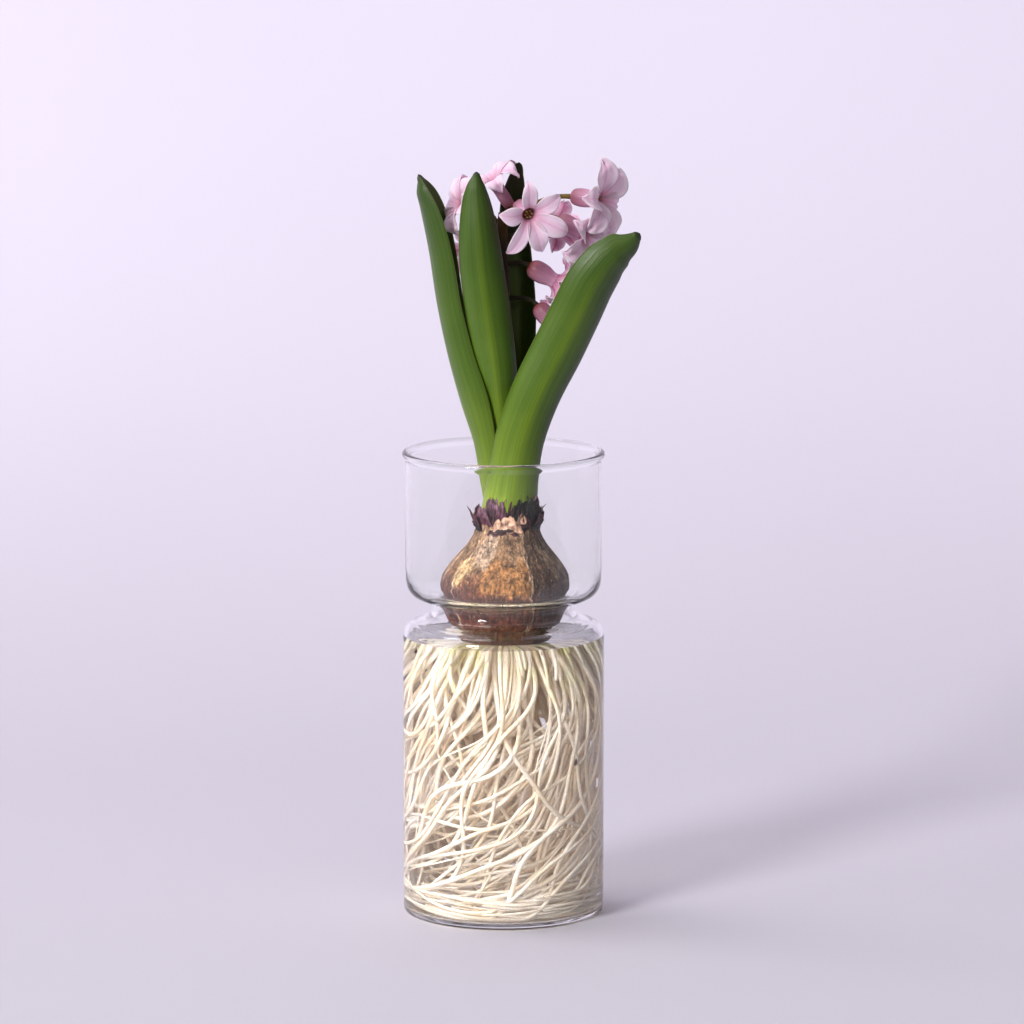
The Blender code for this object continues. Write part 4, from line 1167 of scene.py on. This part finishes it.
def make_spike(start, end, radius, seed):
    bm = bmesh.new()
    a, b = Vector(start), Vector(end)
    way = (b - a).to_track_quat("Z", "Y").to_matrix().to_4x4()
    bmesh.ops.create_cone(bm, cap_ends=True, segments=8, radius1=radius, radius2=0.08, depth=(b - a).length)
    long_edges = [e for e in bm.edges if abs(e.verts[0].co.z - e.verts[1].co.z) > 1]
    bmesh.ops.subdivide_edges(bm, edges=long_edges, cuts=7, use_grid_fill=True)
    bmesh.ops.transform(bm, matrix=Matrix.Translation((a + b) / 2) @ way, verts=bm.verts)
    paint = bm.verts.layers.float_color.new("paint")
    for vert in bm.verts:
        bend = noise.noise_vector(vert.co * 0.22 + Vector((seed, 0, 0)))
        vert[paint] = (*blend(DEEP_PLUM, TAUPE, 0.5 + noise.noise(vert.co * 0.8)), 1)
        vert.co = (vert.co + bend * 0.7) * MM
    return bm


for order, (node, flaps) in enumerate(FLAPS.items()):
    parts = [make_flap(*flap, seed=10.7 * order + 3.1 * i) for i, flap in enumerate(flaps)]
    parts += [make_spike(start, end, radius, 2.0 * i) for i, (start, end, radius, where) in enumerate(SPIKES)
              if where == node]
    keep(node.replace("collar_scale", "collar_flaps"), gather(parts), collar_paper, "dry_scale", node)

# %% [markdown]
# The basal plate is the corky disc that roots break out of. It is a low turned disc, roughened, and the
# wet orange-brown of it shows just above the water.

# %% Basal plate
def make_plate_finish():
    finish, tree, shader = new_finish("basal_cork", Roughness=0.35)
    place = object_place(tree)
    grain = noise_of(tree, place, 700, 5.0, (1, 1, 1), 0.65)
    wire(tree, ramp(tree, grain, [(0.32, srgb(74, 44, 26)), (0.5, srgb(168, 104, 54)), (0.62, srgb(196, 140, 84)),
                                  (0.72, srgb(226, 204, 168))]), shader.inputs["Base Color"])
    bump(tree, shader, grain, 0.8, 0.0008)
    return finish


plate_bm = turn([(0, 115.5), (4, 115.5), (8, 115.5), (11.5, 115.6), (13.4, 115.9), (14.6, 116.4), (14.9, 117.0),
                 (14.4, 117.5), (12.4, 117.85), (6, 117.9), (0, 117.9)], 96)
for vert in plate_bm.verts:
    x, y, z = vert.co / MM
    knob = 1 + 0.045 * noise.noise((x * 0.9, y * 0.9, z)) * ease(5, 11, math.hypot(x, y))
    vert.co = Vector((x * knob + bulb_centre(z), y * knob, z + 0.25 * noise.noise((x * 1.3, y * 1.3, 4)))) * MM
keep("basal_cork", plate_bm, make_plate_finish(), "basal_plate", "basal_plate")

# %% [markdown]
# The roots are the life of the jar: nearly two hundred long cream strands leave the plate, reach the wall
# and run round it, and at the bottom they lie in wide curls. Near the plate some are tinged green. A live
# root is juicy and lets light through, so its shadow is faint: for shadow rays the shader is swapped for
# one that lets about three quarters of the light by, and that is what keeps the jar bright.

# %% Root finish
LIGHT_LET_BY = 0.78


def make_root_finish():
    finish, tree, shader = new_finish("root_skin", Roughness=0.42, Subsurface_Weight=0.55,
                                      Subsurface_Scale=0.004)
    place = object_place(tree)
    cloud = noise_of(tree, place, 60, 3.0)
    fine = noise_of(tree, place, 900, 3.0)
    colour = ramp(tree, cloud, [(0.30, srgb(218, 199, 174)), (0.50, srgb(226, 212, 196)),
                                (0.70, srgb(231, 221, 212))])
    high = spread(tree, split_axes(tree, place)["Z"], (0.088, 0.112))
    greens = ramp(tree, noise_of(tree, place, 85, 2.0), [(0.48, (0, 0, 0)), (0.66, (0.70,) * 3)])
    share = mix(tree, "MULTIPLY", 1.0, greens, high)
    colour = mix(tree, "MIX", share, colour, srgb(192, 190, 118))
    tone = ramp(tree, fine, [(0.35, (0.86, 0.83, 0.78)), (0.6, (1.03, 1.03, 1.03))])
    wire(tree, mix(tree, "MULTIPLY", 0.7, colour, tone), shader.inputs["Base Color"])
    bump(tree, shader, fine, 0.25, 0.0004)
    shadow = add_node(tree, "ShaderNodeLightPath").outputs["Is Shadow Ray"]
    passed = add_node(tree, "ShaderNodeBsdfTransparent", {"Color": (1.0, 0.98, 0.95, 1)}).outputs["BSDF"]
    solid = shader.outputs["BSDF"]
    show(tree, either(tree, shadow, solid, either(tree, LIGHT_LET_BY, solid, passed)))
    return finish


root_skin = make_root_finish()
print("root finish ready")

# %% [markdown]
# Drawing the roots one by one would take days, so they are grown: each walks in small steps, and at every
# step it steers by a slow field of directions. Neighbours read the same field, so they run side by side in
# bundles, as real roots do. `drift` is the field: the slant of the walk at a direction round the axis and
# a height, 0 for straight down and 90 for level. It is nearly upright under the bulb, slants across the
# middle and lies down at the bottom. On the right side the strands hang straighter.

# %% The field that roots follow
FLOOR_Z = 4.6              # mm, where the lowest roots lie
TOP_Z, UNDER_PLATE_Z = 116.2, 115.5  # mm, where roots start, and what none climbs above again
WALL_LIMIT = 39.6          # mm from the axis, the furthest a root's skin goes
STEP = 2.2                 # mm
LEFT_SHARE = 0.92          # how many of the roots wind to the left


def drift(angle, z, layer):
    """How far from straight down a root leans there, in degrees."""
    slant = 8 + 34 * ease(104, 74, z) + 16 * ease(60, 34, z) + 26 * ease(26, 9, z)
    ring = Vector((math.cos(angle), math.sin(angle), 0)) * 0.9
    slant += 46 * noise.noise(ring * 1.25 + Vector((layer * 3.1, 0, z * 0.030)))
    right = 0.5 + 0.5 * math.cos(angle - math.radians(5))
    return slant * (1 - 0.55 * ease(0.75, 1.0, right) * ease(30, 50, z))


def grow_root(rng, layer, reach, hand, length, thick, start_angle=None, start_ring=None):
    """Walk one root; returns (x, y, z, radius) in mm for every step."""
    angle = rng.uniform(-math.pi, math.pi) if start_angle is None else start_angle
    ring = rng.uniform(5, 13.8) if start_ring is None else start_ring
    at = Vector((BULB_CENTRE_X + ring * math.cos(angle), ring * math.sin(angle), TOP_Z))
    eager = rng.choice((0.7, 0.9, 1.6, 3.2)) if ring > 9 else 0.7
    out_first = rng.uniform(0.2, 1.0) * (0.6 + eager) * ease(6, 13, ring)
    if start_ring and start_angle is None:  # a young root, which leaves the plate nearly level
        eager, out_first = 3.6, 5.0
    way = Vector((math.cos(angle) * out_first, math.sin(angle) * out_first, -1)).normalized()
    own, wobble, seed = rng.gauss(0, 8), rng.uniform(14, 46), rng.uniform(0, 100)
    curl, pace = rng.uniform(6, 38), rng.uniform(0.09, 0.17)
    bed = FLOOR_Z + rng.random() ** 2 * 9
    line = []
    for i in range(int(length / STEP)):
        share = i * STEP / length
        radius = thick * (1.22 - 0.30 * ease(0, 0.18, share) - 0.42 * ease(0.72, 1.0, share))
        line.append((at.x, at.y, at.z, radius))
        angle = math.atan2(at.y, at.x)
        far = math.hypot(at.x, at.y)
        outward = Vector((math.cos(angle), math.sin(angle), 0))
        around = Vector((-math.sin(angle), math.cos(angle), 0)) * hand
        slant = drift(angle, at.z, layer) + own + wobble * noise.noise((i * 0.055, seed, layer))
        slant += curl * math.sin(i * pace + seed) * ease(4, 14, i)
        slant = math.radians(min(150, max(-35, slant)))
        slant += (math.radians(96) - slant) * (1 - ease(bed - 1, bed + 8, at.z))
        aim = reach + 3.2 * noise.noise((i * 0.05, seed, 50)) - 1.5
        pull = max(-0.8, min(eager, (aim - far) / 8))
        want = around * math.sin(slant) + Vector((0, 0, -math.cos(slant))) + outward * pull
        want = want.normalized()
        way = (way + want * (0.13 + 0.17 * ease(0, 8, i))).normalized()
        at = at + way * STEP
        far = math.hypot(at.x, at.y)
        limit = WALL_LIMIT - radius
        if far > limit:
            at.x, at.y = at.x * limit / far, at.y * limit / far
        at.z = min(UNDER_PLATE_Z, max(FLOOR_Z, at.z))
    return line


def root_bed(seed, count, layer, reaches, lengths, thicks, ring):
    rng = random.Random(seed)
    lines = []
    for index in range(count):
        angle = 2 * math.pi * (index + rng.uniform(-0.4, 0.4)) / count
        hand = -1 if rng.random() < LEFT_SHARE else 1
        lines.append(grow_root(rng, layer + rng.uniform(-0.15, 0.15), rng.uniform(*reaches), hand,
                               rng.uniform(*lengths), rng.uniform(*thicks), angle, rng.uniform(*ring)))
    return lines


print("slant at mid height, front:", round(drift(math.radians(-90), 60, 0)), "degrees")

# %% [markdown]
# Four beds are grown from the wall inwards. Each bed is one piece of round tubes, and it stands for those
# of the CAD's sixteen roots that lie where it lies. A tuft of short young roots spreads under the plate,
# and a few hair-thin ones wander through the rest.

# %% Roots
ROOT_BEDS = [  # name, seed, count, layer, reach from the axis, length, thickness, starting ring, nodes
    ("wall_roots", 11, 46, 0.0, (37.6, 39.0), (150, 250), (0.85, 1.25), (10, 13.8), range(1, 6)),
    ("near_wall_roots", 23, 46, 0.5, (33.0, 36.5), (140, 240), (0.8, 1.2), (9, 13.5), range(6, 9)),
    ("middle_roots", 37, 56, 1.2, (20.0, 31.0), (120, 220), (0.7, 1.1), (5, 12), range(9, 14)),
    ("core_roots", 41, 32, 2.1, (5.0, 18.0), (100, 170), (0.7, 1.1), (1, 9), range(14, 17)),
]
for name, seed, count, layer, reaches, lengths, thicks, ring, numbers in ROOT_BEDS:
    lines = root_bed(seed, count, layer, reaches, lengths, thicks, ring)
    keep_mesh(name, tubes_from(name, lines, 1, 2), root_skin, "root", *["root_%02d" % n for n in numbers])

tuft_rng = random.Random(77)
tuft = [grow_root(tuft_rng, 0.3, tuft_rng.uniform(16, 37), tuft_rng.choice((-1, -1, 1)), tuft_rng.uniform(18, 46),
                  tuft_rng.uniform(0.7, 1.2), start_ring=tuft_rng.uniform(9, 13.8)) for _ in range(64)]
keep_mesh("young_roots", tubes_from("young_roots", tuft, 1, 2), root_skin, "root")
thin_rng = random.Random(91)
thin = [grow_root(thin_rng, 0.8, thin_rng.uniform(28, 39), thin_rng.choice((-1, -1, -1, -1, -1, 1)),
                  thin_rng.uniform(120, 200), thin_rng.uniform(0.35, 0.5)) for _ in range(16)]
keep_mesh("fine_roots", tubes_from("fine_roots", thin, 1, 1), root_skin, "root")

# %% [markdown]
# Two dark crumbs of old bulb skin hang between the roots by the front wall. A crumb is a small ball
# stretched and dented, with a grainy brown finish.

# %% Crumbs
CRUMBS = [  # middle, half sizes, how far it leans in degrees
    ((29.3, -26.2, 69.4), (0.6, 0.6, 1.4), 14),
    ((18.0, -34.9, 18.9), (0.38, 0.38, 0.46), 40)]


def make_crumbs():
    finish, tree, shader = new_finish("crumb_skin", Roughness=0.5)
    grain = noise_of(tree, object_place(tree), 1800, 3.0)
    wire(tree, ramp(tree, grain, [(0.35, srgb(20, 14, 12)), (0.7, srgb(58, 40, 30))]), shader.inputs["Base Color"])
    bump(tree, shader, grain, 0.4, 0.0003)
    crumbs = []
    for (x, y, z), stretch, lean in CRUMBS:
        bm = bmesh.new()
        bmesh.ops.create_icosphere(bm, subdivisions=3, radius=1.0)
        for vert in bm.verts:
            dent = 1 + 0.35 * noise.noise(vert.co * 1.3 + Vector((x, y, z)))
            vert.co = Vector(vert.co[i] * stretch[i] for i in range(3)) * dent
        bmesh.ops.rotate(bm, matrix=Matrix.Rotation(math.radians(lean), 3, "Y"), verts=bm.verts)
        bmesh.ops.translate(bm, vec=(x, y, z), verts=bm.verts)
        bmesh.ops.scale(bm, vec=(MM, MM, MM), verts=bm.verts)
        crumbs.append(bm)
    keep("skin_crumbs", gather(crumbs), finish, "bulb_skin")


make_crumbs()
